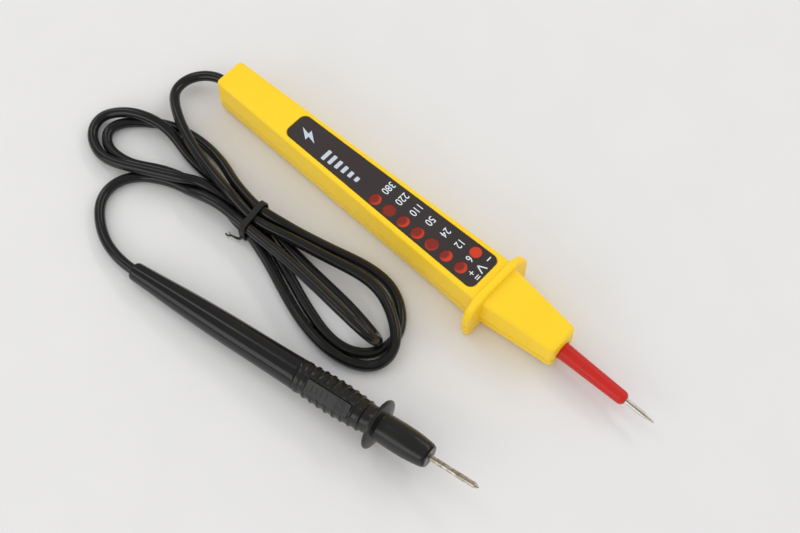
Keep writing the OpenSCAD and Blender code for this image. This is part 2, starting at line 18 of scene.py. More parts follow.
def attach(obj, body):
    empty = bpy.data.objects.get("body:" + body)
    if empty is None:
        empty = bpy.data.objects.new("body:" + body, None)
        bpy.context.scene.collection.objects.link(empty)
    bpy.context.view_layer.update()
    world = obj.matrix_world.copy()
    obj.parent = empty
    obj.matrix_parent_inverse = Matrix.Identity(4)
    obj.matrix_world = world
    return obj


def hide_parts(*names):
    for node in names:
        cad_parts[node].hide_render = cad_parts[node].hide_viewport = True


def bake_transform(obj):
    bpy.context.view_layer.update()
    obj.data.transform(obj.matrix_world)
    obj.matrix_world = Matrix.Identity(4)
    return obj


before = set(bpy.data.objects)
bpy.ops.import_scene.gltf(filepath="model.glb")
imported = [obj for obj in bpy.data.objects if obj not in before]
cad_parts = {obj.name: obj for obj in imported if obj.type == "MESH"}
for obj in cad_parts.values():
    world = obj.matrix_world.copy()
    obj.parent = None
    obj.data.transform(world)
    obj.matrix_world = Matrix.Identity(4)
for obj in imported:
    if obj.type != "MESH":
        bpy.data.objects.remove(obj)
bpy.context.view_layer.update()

log = logging.getLogger("tester")
Triple = tuple[float, float, float]
Pair = tuple[float, float]


class Body(Enum):
    """The two bodies that pieces ride on."""

    TESTER = "tester"
    PROBE = "test_probe"


class Pick(Enum):
    """What an edit-mode selection is made of."""

    VERT = (True, False, False)
    EDGE = (False, True, False)
    FACE = (False, False, True)


class Join(Enum):
    """How one solid is combined with another."""

    ADD = "UNION"
    CUT = "DIFFERENCE"


# ---------------------------------------------------------------- bench


def deselect() -> None:
    """Leaves object mode clean, with nothing selected."""
    if bpy.context.mode != "OBJECT":
        bpy.ops.object.mode_set(mode="OBJECT")
    bpy.ops.object.select_all(action="DESELECT")


class Workpiece:
    """A solid on the bench, in millimetres, shaped with the edit tools."""

    def __init__(self, obj: bpy.types.Object) -> None:
        """Takes an object that is already on the bench.

        Args:
            obj: The mesh object.
        """
        self.obj = obj

    @classmethod
    def block(cls, low: Triple, high: Triple) -> "Workpiece":
        """A box between two corners.

        Args:
            low: Its lowest corner.
            high: Its highest corner.

        Returns:
            The box, with its size applied.
        """
        deselect()
        centre = [(a + b) / 2 for a, b in zip(low, high)]
        size = [b - a for a, b in zip(low, high)]
        bpy.ops.mesh.primitive_cube_add(size=1, location=centre, scale=size)
        bpy.ops.object.transform_apply(location=True, rotation=True, scale=True)
        return cls(bpy.context.object)

    @classmethod
    def drum(cls, centre: Triple, radius: float, depth: float, sides: int = 48,
             along_x: bool = False) -> "Workpiece":
        """A round bar.

        Args:
            centre: Its middle.
            radius: Its radius.
            depth: Its length.
            sides: How many sides it has.
            along_x: True if it lies along X, otherwise it stands along Z.

        Returns:
            The bar, with its turn applied.
        """
        deselect()
        turn = (0, math.pi / 2, 0) if along_x else (0, 0, 0)
        bpy.ops.mesh.primitive_cylinder_add(vertices=sides, radius=radius, depth=depth,
                                            location=centre, rotation=turn)
        bpy.ops.object.transform_apply(location=True, rotation=True, scale=True)
        return cls(bpy.context.object)

    @classmethod
    def turned(cls, profile: Sequence[Pair], sides: int = 64) -> "Workpiece":
        """Turns a solid on the X axis, one ring at a time.

        Args:
            profile: (place, radius) of each ring, from one end to the other.
            sides: How many sides the rings have.

        Returns:
            The closed solid.
        """
        deselect()
        place, radius = profile[0]
        bpy.ops.mesh.primitive_circle_add(vertices=sides, radius=radius, fill_type="NGON",
                                          location=(place, 0, 0), rotation=(0, math.pi / 2, 0))
        bpy.ops.object.transform_apply(location=True, rotation=True, scale=True)
        piece = cls(bpy.context.object)
        with piece.editing(Pick.FACE):
            bpy.ops.mesh.select_all(action="SELECT")
            for next_place, next_radius in profile[1:]:
                bpy.ops.mesh.extrude_region_move(
                    TRANSFORM_OT_translate={"value": (next_place - place, 0, 0)})
                grow = next_radius / radius
                if abs(grow - 1) > 1e-6:
                    bpy.ops.transform.resize(value=(1, grow, grow),
                                             center_override=(next_place, 0, 0))
                place, radius = next_place, next_radius
            bpy.ops.mesh.select_all(action="SELECT")
            bpy.ops.mesh.normals_make_consistent(inside=False)
        return piece

    @contextmanager
    def editing(self, kind: Pick) -> Iterator[None]:
        """Works on this piece alone in edit mode.

        Args:
            kind: The selection mode to work in.
        """
        deselect()
        self.obj.select_set(True)
        bpy.context.view_layer.objects.active = self.obj
        bpy.ops.object.mode_set(mode="EDIT")
        bpy.context.tool_settings.mesh_select_mode = kind.value
        yield
        bpy.ops.object.mode_set(mode="OBJECT")

    def pick(self, kind: Pick, test: Callable[..., bool]) -> int:
        """Selects by place, in edit mode.

        Args:
            kind: What to select.
            test: Gets a vertex's place, an edge's two ends, or a face's middle and normal.

        Returns:
            How many were selected.
        """
        bpy.ops.mesh.select_all(action="DESELECT")
        bm = bmesh.from_edit_mesh(self.obj.data)
        found = 0
        if kind is Pick.VERT:
            for v in bm.verts:
                if test(v.co):
                    v.select_set(True)
                    found += 1
        elif kind is Pick.EDGE:
            for e in bm.edges:
                if test(e.verts[0].co, e.verts[1].co):
                    e.select_set(True)
                    found += 1
        else:
            for f in bm.faces:
                if test(f.calc_center_median(), f.normal):
                    f.select_set(True)
                    found += 1
        bmesh.update_edit_mesh(self.obj.data)
        return found

    def round_edges(self, width: float, segments: int,
                    test: Callable[[Vector, Vector], bool]) -> None:
        """Rounds the edges that a test picks.

        Args:
            width: How far the rounding reaches along the faces.
            segments: How many strips it has.
            test: Gets an edge's two ends.
        """
        with self.editing(Pick.EDGE):
            if self.pick(Pick.EDGE, test):
                bpy.ops.mesh.bevel(offset=width, segments=segments, profile=0.5,
                                   affect="EDGES", clamp_overlap=True, offset_type="OFFSET")

    def move(self, step: Triple, test: Callable[[Vector], bool]) -> None:
        """Moves the vertices that a test picks.

        Args:
            step: How far they move.
            test: Gets a vertex's place.
        """
        with self.editing(Pick.VERT):
            if self.pick(Pick.VERT, test):
                bpy.ops.transform.translate(value=step)

    def stretch(self, scale: Triple, about: Triple, test: Callable[[Vector], bool]) -> None:
        """Scales the vertices that a test picks.

        Args:
            scale: The factor along each axis.
            about: The fixed point.
            test: Gets a vertex's place.
        """
        with self.editing(Pick.VERT):
            if self.pick(Pick.VERT, test):
                bpy.ops.transform.resize(value=scale, center_override=about)

    def slice(self, point: Triple, normal: Triple, keep_front: bool | None = None) -> None:
        """Cuts through the solid with a plane.

        Args:
            point: A point on the plane.
            normal: The plane's normal.
            keep_front: True keeps the side that the normal points to, False the other one,
                None keeps both and only adds the cut's edges.
        """
        with self.editing(Pick.FACE):
            bpy.ops.mesh.select_all(action="SELECT")
            bpy.ops.mesh.bisect(plane_co=point, plane_no=normal, use_fill=keep_front is not None,
                                clear_inner=keep_front is True, clear_outer=keep_front is False,
                                threshold=1e-5)

    def combine(self, other: "Workpiece", how: Join) -> None:
        """Adds or cuts another solid, which is used up.

        Args:
            other: The other solid.
            how: Whether it is added or cut away.
        """
        deselect()
        bpy.context.view_layer.objects.active = self.obj
        self.obj.select_set(True)
        modifier = self.obj.modifiers.new("combine", "BOOLEAN")
        modifier.operation = how.value
        modifier.solver = "EXACT"
        modifier.object = other.obj
        bpy.ops.object.modifier_apply(modifier=modifier.name)
        other.discard()

    def combine_all(self, others: Sequence["Workpiece"], how: Join) -> None:
        """Adds or cuts several solids in turn.

        Args:
            others: The other solids.
            how: Whether they are added or cut away.
        """
        for other in others:
            self.combine(other, how)

    def join(self, others: Sequence["Workpiece"]) -> None:
        """Makes several solids one piece, without merging their surfaces.

        Args:
            others: The other solids, which are used up.
        """
        deselect()
        for other in others:
            other.obj.select_set(True)
        self.obj.select_set(True)
        bpy.context.view_layer.objects.active = self.obj
        bpy.ops.object.join()

    def discard(self) -> None:
        """Takes the piece off the bench."""
        mesh = self.obj.data
        bpy.data.objects.remove(self.obj, do_unlink=True)
        if mesh.users == 0:
            bpy.data.meshes.remove(mesh)

    def twin(self) -> "Workpiece":
        """A copy with a mesh of its own."""
        copy = self.obj.copy()
        copy.data = self.obj.data.copy()
        bpy.context.scene.collection.objects.link(copy)
        return Workpiece(copy)

    def placed(self, matrix: Matrix) -> "Workpiece":
        """Puts the mesh somewhere else, in millimetres.

        Args:
            matrix: The place and turn.

        Returns:
            The same piece.
        """
        deselect()
        self.obj.select_set(True)
        bpy.context.view_layer.objects.active = self.obj
        self.obj.matrix_world = matrix
        bpy.ops.object.transform_apply(location=True, rotation=True, scale=True)
        return self

    def hand_over(self, name: str, body: Body, finish: "Finish", nodes: Sequence[str] = (),
                  angle: float = 32.0) -> bpy.types.Object:
        """Finishes the piece: metres, shading, finish, and its place in the frame.

        Args:
            name: The piece's name.
            body: The body that it rides on.
            finish: Its finish.
            nodes: The CAD nodes that it stands for.
            angle: Edges that turn more than this many degrees stay sharp.

        Returns:
            The finished object.
        """
        deselect()
        self.obj.select_set(True)
        bpy.context.view_layer.objects.active = self.obj
        self.obj.scale = (0.001, 0.001, 0.001)
        bpy.ops.object.transform_apply(location=True, rotation=True, scale=True)
        bpy.ops.object.shade_smooth_by_angle(angle=math.radians(angle))
        modifier = self.obj.modifiers.new("even_shading", "WEIGHTED_NORMAL")
        modifier.keep_sharp = True
        modifier.weight = 100
        bpy.ops.object.modifier_apply(modifier=modifier.name)
        return settle(self.obj, name, body, finish, nodes)


def settle(obj: bpy.types.Object, name: str, body: Body, finish: "Finish",
           nodes: Sequence[str] = ()) -> bpy.types.Object:
    """Names a finished object, dresses it and lets it ride on its body.

    Args:
        obj: The object, in metres.
        name: Its name.
        body: The body that it rides on.
        finish: Its finish.
        nodes: The CAD nodes that it stands for.

    Returns:
        The same object.
    """
    obj.name = obj.data.name = name
    obj.data.materials.clear()
    obj.data.materials.append(finish.material())
    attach(obj, body.value)
    if nodes:
        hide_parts(*nodes)
    log.info("%s: %d faces", name, len(obj.data.polygons))
    return obj


def ramp(a: float, b: float, t: float) -> float:
    """The value a share t of the way from a to b.

    Args:
        a: The first value.
        b: The last value.
        t: The share, from 0 to 1.

    Returns:
        The value in between.
    """
    return a + (b - a) * t


def arc(centre: Pair, radius: float, start: float, end: float, steps: int) -> list[Pair]:
    """Points on an arc, from one angle to another in degrees.

    Args:
        centre: The arc's centre.
        radius: Its radius.
        start: Its first angle.
        end: Its last angle.
        steps: How many chords it has.

    Returns:
        The points, both ends among them.
    """
    angles = [math.radians(ramp(start, end, i / steps)) for i in range(steps + 1)]
    return [(centre[0] + radius * math.cos(a), centre[1] + radius * math.sin(a)) for a in angles]


# ---------------------------------------------------------------- finishes


class Tree:
    """Adds and joins nodes in one shader tree."""

    def __init__(self, tree: bpy.types.NodeTree) -> None:
        """Takes the tree that the nodes go into."""
        self.tree = tree

    def add(self, kind: str, inputs: dict[str, object] | None = None,
            **settings: object) -> bpy.types.Node:
        """Adds a node.

        Args:
            kind: The node's type name, without its ShaderNode prefix.
            inputs: Values or output sockets for its inputs.
            **settings: The node's own properties.

        Returns:
            The node.
        """
        node = self.tree.nodes.new("ShaderNode" + kind)
        for key, value in settings.items():
            setattr(node, key, value)
        for key, value in (inputs or {}).items():
            socket = node.inputs[int(key) if key.isdigit() else key]
            if isinstance(value, bpy.types.NodeSocket):
                self.tree.links.new(value, socket)
            else:
                socket.default_value = value
        return node

    def math(self, operation: str, a: object, b: object = 0.0) -> bpy.types.NodeSocket:
        """One sum on numbers.

        Args:
            operation: The Math node's operation.
            a: Its first value or socket.
            b: Its second value or socket.

        Returns:
            The result's socket.
        """
        return self.add("Math", {"0": a, "1": b}, operation=operation).outputs[0]


def rgba(colour: Triple) -> tuple[float, float, float, float]:
    """The colour with full alpha.

    Args:
        colour: Red, green and blue.

    Returns:
        The colour with its alpha.
    """
    return (*colour, 1.0)


def new_group(name: str, inputs: dict[str, object], outputs: dict[str, str]) -> Tree | None:
    """Starts a shader node group, unless it is already built.

    Args:
        name: The group's name.
        inputs: Each input's default value; a tuple of four is a colour.
        outputs: Each output's socket type.

    Returns:
        The group's tree, or None if it was built before.
    """
    if name in bpy.data.node_groups:
        return None
    group = bpy.data.node_groups.new(name, "ShaderNodeTree")
    for key, value in inputs.items():
        kind = "NodeSocketColor" if isinstance(value, tuple) else "NodeSocketFloat"
        socket = group.interface.new_socket(key, in_out="INPUT", socket_type=kind)
        socket.default_value = value
    for key, kind in outputs.items():
        group.interface.new_socket(key, in_out="OUTPUT", socket_type=kind)
    return Tree(group)


def tone_drift_group() -> str:
    """Two tones of one colour that drift slowly over the surface, with fine flecks.

    Returns:
        The group's name.
    """
    name = "tone_drift"
    tree = new_group(name, {"Tone": (1, 1, 1, 1), "Deep Tone": (0, 0, 0, 1), "Drift Size": 40.0,
                            "Drift": 0.5, "Fleck": 0.0}, {"Color": "NodeSocketColor"})
    if tree:
        given = tree.tree.nodes.new("NodeGroupInput")
        place = tree.add("TexCoord").outputs["Object"]
        slow = tree.add("TexNoise", {"Vector": place, "Scale": given.outputs["Drift Size"],
                                     "Detail": 3.0, "Roughness": 0.55})
        share = tree.add("MapRange", {"Value": slow.outputs["Fac"], "From Min": 0.35,
                                      "From Max": 0.7, "To Min": 0.0,
                                      "To Max": given.outputs["Drift"]})
        tones = tree.add("Mix", {"Factor": share.outputs["Result"]}, data_type="RGBA")
        tree.tree.links.new(given.outputs["Tone"], tones.inputs[6])
        tree.tree.links.new(given.outputs["Deep Tone"], tones.inputs[7])
        fine = tree.add("TexNoise", {"Vector": place, "Scale": 700.0, "Detail": 1.0})
        dots = tree.add("MapRange", {"Value": fine.outputs["Fac"], "From Min": 0.72,
                                     "From Max": 0.78, "To Min": 0.0,
                                     "To Max": given.outputs["Fleck"]})
        flecked = tree.add("Mix", {"Factor": dots.outputs["Result"]}, data_type="RGBA")
        tree.tree.links.new(tones.outputs[2], flecked.inputs[6])
        tree.tree.links.new(given.outputs["Deep Tone"], flecked.inputs[7])
        out = tree.tree.nodes.new("NodeGroupOutput")
        tree.tree.links.new(flecked.outputs[2], out.inputs["Color"])
    return name


def skin_group() -> str:
    """Moulded skin: fine grain, a slow waviness and uneven gloss.

    Returns:
        The group's name.
    """
    name = "moulded_skin"
    tree = new_group(name, {"Grain Size": 900.0, "Grain": 0.5, "Wave": 0.2, "Gloss Low": 0.3,
                            "Gloss High": 0.4, "Stretch": 1.0},
                     {"Height": "NodeSocketFloat", "Roughness": "NodeSocketFloat"})
    if tree:
        given = tree.tree.nodes.new("NodeGroupInput")
        place = tree.add("TexCoord").outputs["Object"]
        axes = tree.add("SeparateXYZ", {"Vector": place})
        along = tree.math("MULTIPLY", axes.outputs["X"], given.outputs["Stretch"])
        drawn = tree.add("CombineXYZ", {"X": along, "Y": axes.outputs["Y"],
                                        "Z": axes.outputs["Z"]}).outputs[0]
        grain = tree.add("TexNoise", {"Vector": drawn, "Scale": given.outputs["Grain Size"],
                                      "Detail": 3.0, "Roughness": 0.6}).outputs["Fac"]
        wave = tree.add("TexNoise", {"Vector": drawn, "Scale": 90.0, "Detail": 2.0}).outputs["Fac"]
        height = tree.math("ADD", tree.math("MULTIPLY", grain, given.outputs["Grain"]),
                           tree.math("MULTIPLY", wave, given.outputs["Wave"]))
        patchy = tree.add("TexNoise", {"Vector": drawn, "Scale": 120.0, "Detail": 4.0,
                                       "Roughness": 0.65}).outputs["Fac"]
        gloss = tree.add("MapRange", {"Value": patchy, "From Min": 0.3, "From Max": 0.72,
                                      "To Min": given.outputs["Gloss Low"],
                                      "To Max": given.outputs["Gloss High"]})
        out = tree.tree.nodes.new("NodeGroupOutput")
        tree.tree.links.new(height, out.inputs["Height"])
        tree.tree.links.new(gloss.outputs["Result"], out.inputs["Roughness"])
    return name


def group_node(tree: Tree, name: str, inputs: dict[str, object]) -> bpy.types.Node:
    """Places a node group in a material with its own values.

    Args:
        tree: The material's tree.
        name: The group's name.
        inputs: The group's values.

    Returns:
        The group node.
    """
    node = tree.tree.nodes.new("ShaderNodeGroup")
    node.node_tree = bpy.data.node_groups[name]
    for key, value in inputs.items():
        node.inputs[key].default_value = value
    return node


@dataclass(frozen=True)
class Finish:
    """A moulded, drawn or plated surface.

    Attributes:
        name: The finish's name.
        slot: Name of its material slot; not used.
        tone: Its main colour.
        deep: The colour that it drifts towards.
        gloss: Its lowest and highest roughness.
        grain: Grain frequency, grain share and wave share of the relief.
        relief: Depth of the relief in metres.
        metal: True on bare metal.
        coat: Weight of a clear gloss over it.
        glow: Weight of light passing under the skin.
        stretch: How much the grain is drawn out along X.
        drift: How far the tone drifts.
        fleck: Strength of small dark flecks.
        shine: Strength of the surface's own reflection; 0.5 is plain plastic.
        patches: How many patches of the deep colour fall on a metre.
    """

    name: str
    slot: str
    tone: Triple
    deep: Triple
    gloss: Pair = (0.3, 0.4)
    grain: Triple = (900.0, 0.5, 0.2)
    relief: float = 0.00002
    metal: bool = False
    coat: float = 0.0
    glow: float = 0.0
    stretch: float = 1.0
    drift: float = 0.6
    fleck: float = 0.0
    shine: float = 0.5
    patches: float = 40.0

    def material(self) -> bpy.types.Material:
        """The finish as a material, built once.

        Returns:
            The material.
        """
        if self.name in bpy.data.materials:
            return bpy.data.materials[self.name]
        made = bpy.data.materials.new(self.name)
        made.use_nodes = True
        made.diffuse_color = rgba(self.tone)
        tree = Tree(made.node_tree)
        shader = made.node_tree.nodes["Principled BSDF"]
        self.colour(tree, shader)
        self.skin(tree, shader)
        shader.inputs["Metallic"].default_value = 1.0 if self.metal else 0.0
        shader.inputs["Coat Weight"].default_value = self.coat
        shader.inputs["Coat Roughness"].default_value = 0.12
        shader.inputs["Specular IOR Level"].default_value = self.shine
        if self.glow:
            shader.inputs["Subsurface Weight"].default_value = self.glow
            shader.inputs["Subsurface Radius"].default_value = (1.0, 0.45, 0.12)
            shader.inputs["Subsurface Scale"].default_value = 0.0015
        return made

    def colour(self, tree: Tree, shader: bpy.types.Node) -> None:
        """Feeds the base colour.

        Args:
            tree: The material's tree.
            shader: Its surface shader.
        """
        tones = group_node(tree, tone_drift_group(), {
            "Tone": rgba(self.tone), "Deep Tone": rgba(self.deep), "Drift": self.drift,
            "Fleck": self.fleck, "Drift Size": self.patches})
        tree.tree.links.new(tones.outputs["Color"], shader.inputs["Base Color"])

    def skin(self, tree: Tree, shader: bpy.types.Node) -> None:
        """Feeds the gloss and the relief.

        Args:
            tree: The material's tree.
            shader: Its surface shader.
        """
        size, grain, wave = self.grain
        skin = group_node(tree, skin_group(), {
            "Grain Size": size, "Grain": grain, "Wave": wave, "Gloss Low": self.gloss[0],
            "Gloss High": self.gloss[1], "Stretch": self.stretch})
        bump = tree.add("Bump", {"Height": skin.outputs["Height"], "Strength": 0.6,
                                 "Distance": self.relief})
        tree.tree.links.new(skin.outputs["Roughness"], shader.inputs["Roughness"])
        tree.tree.links.new(bump.outputs["Normal"], shader.inputs["Normal"])


@dataclass(frozen=True)
class WellShadeFilm(Finish):
    """Red film that lies on the housing, with painted shade: bright on plastic, dark over each lamp
    well, where the shade inside the well is painted into the film's colour.

    Attributes:
        painted_shade_wells: Middle and radius of each lamp well, where shade is painted on the
            film, in millimetres.
    """

    painted_shade_wells: tuple[Triple, ...] = ()

    def colour(self, tree: Tree, shader: bpy.types.Node) -> None:
        """Paints the shade of the wells onto the film, with an uneven mottle in it.

        Args:
            tree: The material's tree.
            shader: Its surface shader.
        """
        # Painted shade: the film turns dark red over each well, its circle shifted so that a
        # painted lit crescent stays bright on the +X side.
        place = tree.add("TexCoord").outputs["Object"]
        nearest: bpy.types.NodeSocket | None = None
        for x, y, size in self.painted_shade_wells:
            offset = tree.add("VectorMath", {"0": place, "1": (x * 0.001, y * 0.001, FILM_HEIGHT)},
                              operation="DISTANCE").outputs["Value"]
            scaled = tree.math("DIVIDE", offset, size * 0.001)
            nearest = scaled if nearest is None else tree.math("MINIMUM", nearest, scaled)
        outside_well_shade = tree.add("MapRange", {"Value": nearest, "From Min": 0.62, "From Max": 1.06,
                                             "To Min": 0.0, "To Max": 1.0},
                                interpolation_type="SMOOTHSTEP")
        mottle = tree.add("TexNoise", {"Vector": place, "Scale": 1400.0, "Detail": 3.0})
        well_shade = tree.add("Mix", {"Factor": mottle.outputs["Fac"]}, data_type="RGBA")
        well_shade.inputs[6].default_value = rgba(self.deep)
        well_shade.inputs[7].default_value = rgba(tuple(1.5 * c for c in self.deep))
        mixed = tree.add("Mix", {"Factor": outside_well_shade.outputs["Result"]}, data_type="RGBA")
        tree.tree.links.new(well_shade.outputs[2], mixed.inputs[6])
        mixed.inputs[7].default_value = rgba(self.tone)
        tree.tree.links.new(mixed.outputs[2], shader.inputs["Base Color"])


@dataclass(frozen=True)
class BoardFinish(Finish):
    """Green circuit board with paler tracks."""

    def colour(self, tree: Tree, shader: bpy.types.Node) -> None:
        """Draws the tracks.

        Args:
            tree: The material's tree.
            shader: Its surface shader.
        """
        place = tree.add("TexCoord").outputs["Object"]
        bands = tree.add("TexWave", {"Vector": place, "Scale": 190.0, "Distortion": 3.0,
                                     "Detail": 0.0, "Detail Scale": 0.4},
                         wave_type="BANDS", bands_direction="Y")
        track = tree.add("MapRange", {"Value": bands.outputs["Fac"], "From Min": 0.6,
                                      "From Max": 0.7, "To Min": 0.0, "To Max": 1.0})
        mixed = tree.add("Mix", {"Factor": track.outputs["Result"]}, data_type="RGBA")
        mixed.inputs[6].default_value = rgba(self.deep)
        mixed.inputs[7].default_value = rgba(self.tone)
        tree.tree.links.new(mixed.outputs[2], shader.inputs["Base Color"])


FILM_HEIGHT = 0.0161
LAMP_ROW_START = 13.0
LAMP_PITCH = 6.45
LAMP_ROW_Y = -3.5
LAMP_COUNT = 7
POLARITY_LAMP = (51.7, 4.1)
# Shift and radius of the painted shade over each ladder lamp; the shift leaves a painted lit
# crescent on one side of each window.
WELL_SHADE_SHIFTS = ((-0.75, 0.0, 2.35), (0.0, 0.1, 3.2), (-0.8, 0.15, 2.3), (-0.75, 0.25, 2.45),
               (-0.1, 0.3, 2.7), (-1.25, 0.2, 2.3), (-0.85, 0.2, 2.3))


def lamp_places() -> list[Pair]:
    """Middle of each ladder lamp, from the rear, in millimetres.

    Returns:
        One place a lamp.
    """
    return [(LAMP_ROW_START + i * LAMP_PITCH, LAMP_ROW_Y) for i in range(LAMP_COUNT)]


def painted_well_shades() -> tuple[Triple, ...]:
    """Where shade is painted on the film over each well: middle and radius of each, in millimetres.

    Returns:
        One patch of painted shade a ladder lamp.
    """
    return tuple((x + dx, y + dy, r) for (x, y), (dx, dy, r) in zip(lamp_places(), WELL_SHADE_SHIFTS))


YELLOW = Finish("moulded_yellow", "housing_yellow", (0.97, 0.655, 0.014), (0.92, 0.575, 0.01),
                gloss=(0.3, 0.42), grain=(1500.0, 0.3, 0.25), relief=0.00002, glow=0.12,
                drift=0.35, fleck=0.1, shine=0.35)
LABEL = Finish("label_film", "label_dark", (0.046, 0.038, 0.036), (0.038, 0.031, 0.03),
               gloss=(0.42, 0.52), grain=(2500.0, 0.5, 0.1), relief=0.00001, fleck=0.2,
               shine=0.2)
INK = Finish("pale_ink", "label_dark", (0.78, 0.83, 0.88), (0.7, 0.76, 0.82),
             gloss=(0.5, 0.6), grain=(2500.0, 0.5, 0.1), relief=0.000005)
SILVER_INK = Finish("silver_ink", "label_dark", (0.54, 0.61, 0.69), (0.48, 0.55, 0.63),
                    gloss=(0.45, 0.55), grain=(2500.0, 0.5, 0.1), relief=0.000005)
# The red film's deep tone is painted shade, laid over each lamp well.
FILM = WellShadeFilm("red_film_well_shade", "window_red", (0.6, 0.05, 0.022), (0.19, 0.022, 0.014),
                gloss=(0.28, 0.38), grain=(2500.0, 0.5, 0.1), relief=0.000006, shine=0.2,
                painted_shade_wells=painted_well_shades())
LAMP = Finish("lamp_epoxy", "lamp_red", (0.7, 0.05, 0.03), (0.55, 0.03, 0.02),
              gloss=(0.18, 0.26), coat=0.3, glow=0.2)
BOARD = BoardFinish("green_board", "board_green", (0.07, 0.3, 0.12), (0.03, 0.16, 0.06),
                    gloss=(0.3, 0.45))
BEIGE = Finish("beige_lacquer", "resistor_beige", (0.62, 0.48, 0.3), (0.5, 0.36, 0.2))
BLUE = Finish("blue_lacquer", "resistor_blue", (0.16, 0.3, 0.42), (0.1, 0.2, 0.3))
DIODE = Finish("diode_epoxy", "diode_black", (0.03, 0.03, 0.03), (0.05, 0.05, 0.05))
NICKEL = Finish("bright_nickel", "needle_nickel", (0.8, 0.765, 0.69), (0.66, 0.61, 0.5),
                gloss=(0.16, 0.34), grain=(1600.0, 0.7, 0.3), relief=0.00003, metal=True,
                stretch=0.12, drift=0.8, fleck=0.5)
WORN_NICKEL = Finish("worn_nickel", "needle_nickel", (0.8, 0.76, 0.67), (0.34, 0.27, 0.17),
                     gloss=(0.2, 0.42), grain=(1100.0, 0.9, 0.3), relief=0.0001, metal=True,
                     drift=0.9, fleck=0.9, patches=650.0)
SLEEVE_RED = Finish("sleeve_nylon", "sleeve_red", (0.55, 0.016, 0.01), (0.46, 0.011, 0.008),
                    gloss=(0.26, 0.36), grain=(1200.0, 0.3, 0.4), relief=0.00003, shine=0.3,
                    glow=0.08, stretch=0.3)
BRASS = Finish("contact_brass", "contact_brass", (0.74, 0.55, 0.24), (0.6, 0.42, 0.16),
               gloss=(0.2, 0.35), metal=True)
WIRE_RED = Finish("red_wire", "wire_red", (0.5, 0.03, 0.03), (0.4, 0.02, 0.02))
WIRE_BLACK = Finish("black_wire", "wire_black", (0.03, 0.03, 0.03), (0.02, 0.02, 0.02))
STEEL = Finish("zinc_steel", "screw_steel", (0.55, 0.55, 0.53), (0.42, 0.43, 0.44),
               gloss=(0.28, 0.45), metal=True)
LEAD_BLACK = Finish("lead_pvc", "lead_black", (0.0075, 0.0072, 0.007), (0.011, 0.0105, 0.01),
                    gloss=(0.16, 0.26), grain=(1500.0, 0.4, 0.4), relief=0.00002, shine=0.45)
TIE_GREY = Finish("tie_pvc", "tie_grey", (0.02, 0.019, 0.017), (0.014, 0.0135, 0.012),
                  gloss=(0.42, 0.55), grain=(1300.0, 0.5, 0.3), relief=0.00003, shine=0.3)
NYLON = Finish("natural_nylon", "tie_white", (0.75, 0.75, 0.7), (0.65, 0.65, 0.58))
PROBE_GLOSS = Finish("probe_polished", "probe_gloss_black", (0.007, 0.0068, 0.0068),
                     (0.011, 0.0105, 0.01), gloss=(0.12, 0.22), grain=(700.0, 0.25, 0.75),
                     relief=0.00005, stretch=0.05, shine=0.42)
PROBE_MATTE = Finish("probe_sparked", "probe_matte_black", (0.009, 0.0088, 0.0086),
                     (0.014, 0.013, 0.012), gloss=(0.22, 0.34), grain=(1800.0, 0.8, 0.2),
                     relief=0.00004, shine=0.5)
COPPER = Finish("bare_copper", "copper", (0.66, 0.33, 0.18), (0.5, 0.24, 0.12),
                gloss=(0.3, 0.42), metal=True)

CAD_FINISHES: dict[str, Finish] = {
    "window_film": FILM, "circuit_board": BOARD, "led_polarity": LAMP,
    "input_resistor_1": BLUE, "input_resistor_2": BLUE, "diode_1": DIODE, "diode_2": DIODE,
    "needle_contact": BRASS, "needle_wire": WIRE_RED, "core_wire": WIRE_BLACK,
    "housing_screws": STEEL, "lead_root": LEAD_BLACK, "inner_tie": NYLON, "probe_crimp": BRASS,
    "probe_core": COPPER, "probe_lead_end": LEAD_BLACK,
    **{f"led_{i}": LAMP for i in range(1, LAMP_COUNT + 1)},
    **{f"resistor_{i}": BEIGE for i in range(1, LAMP_COUNT + 1)}}


# ---------------------------------------------------------------- studio


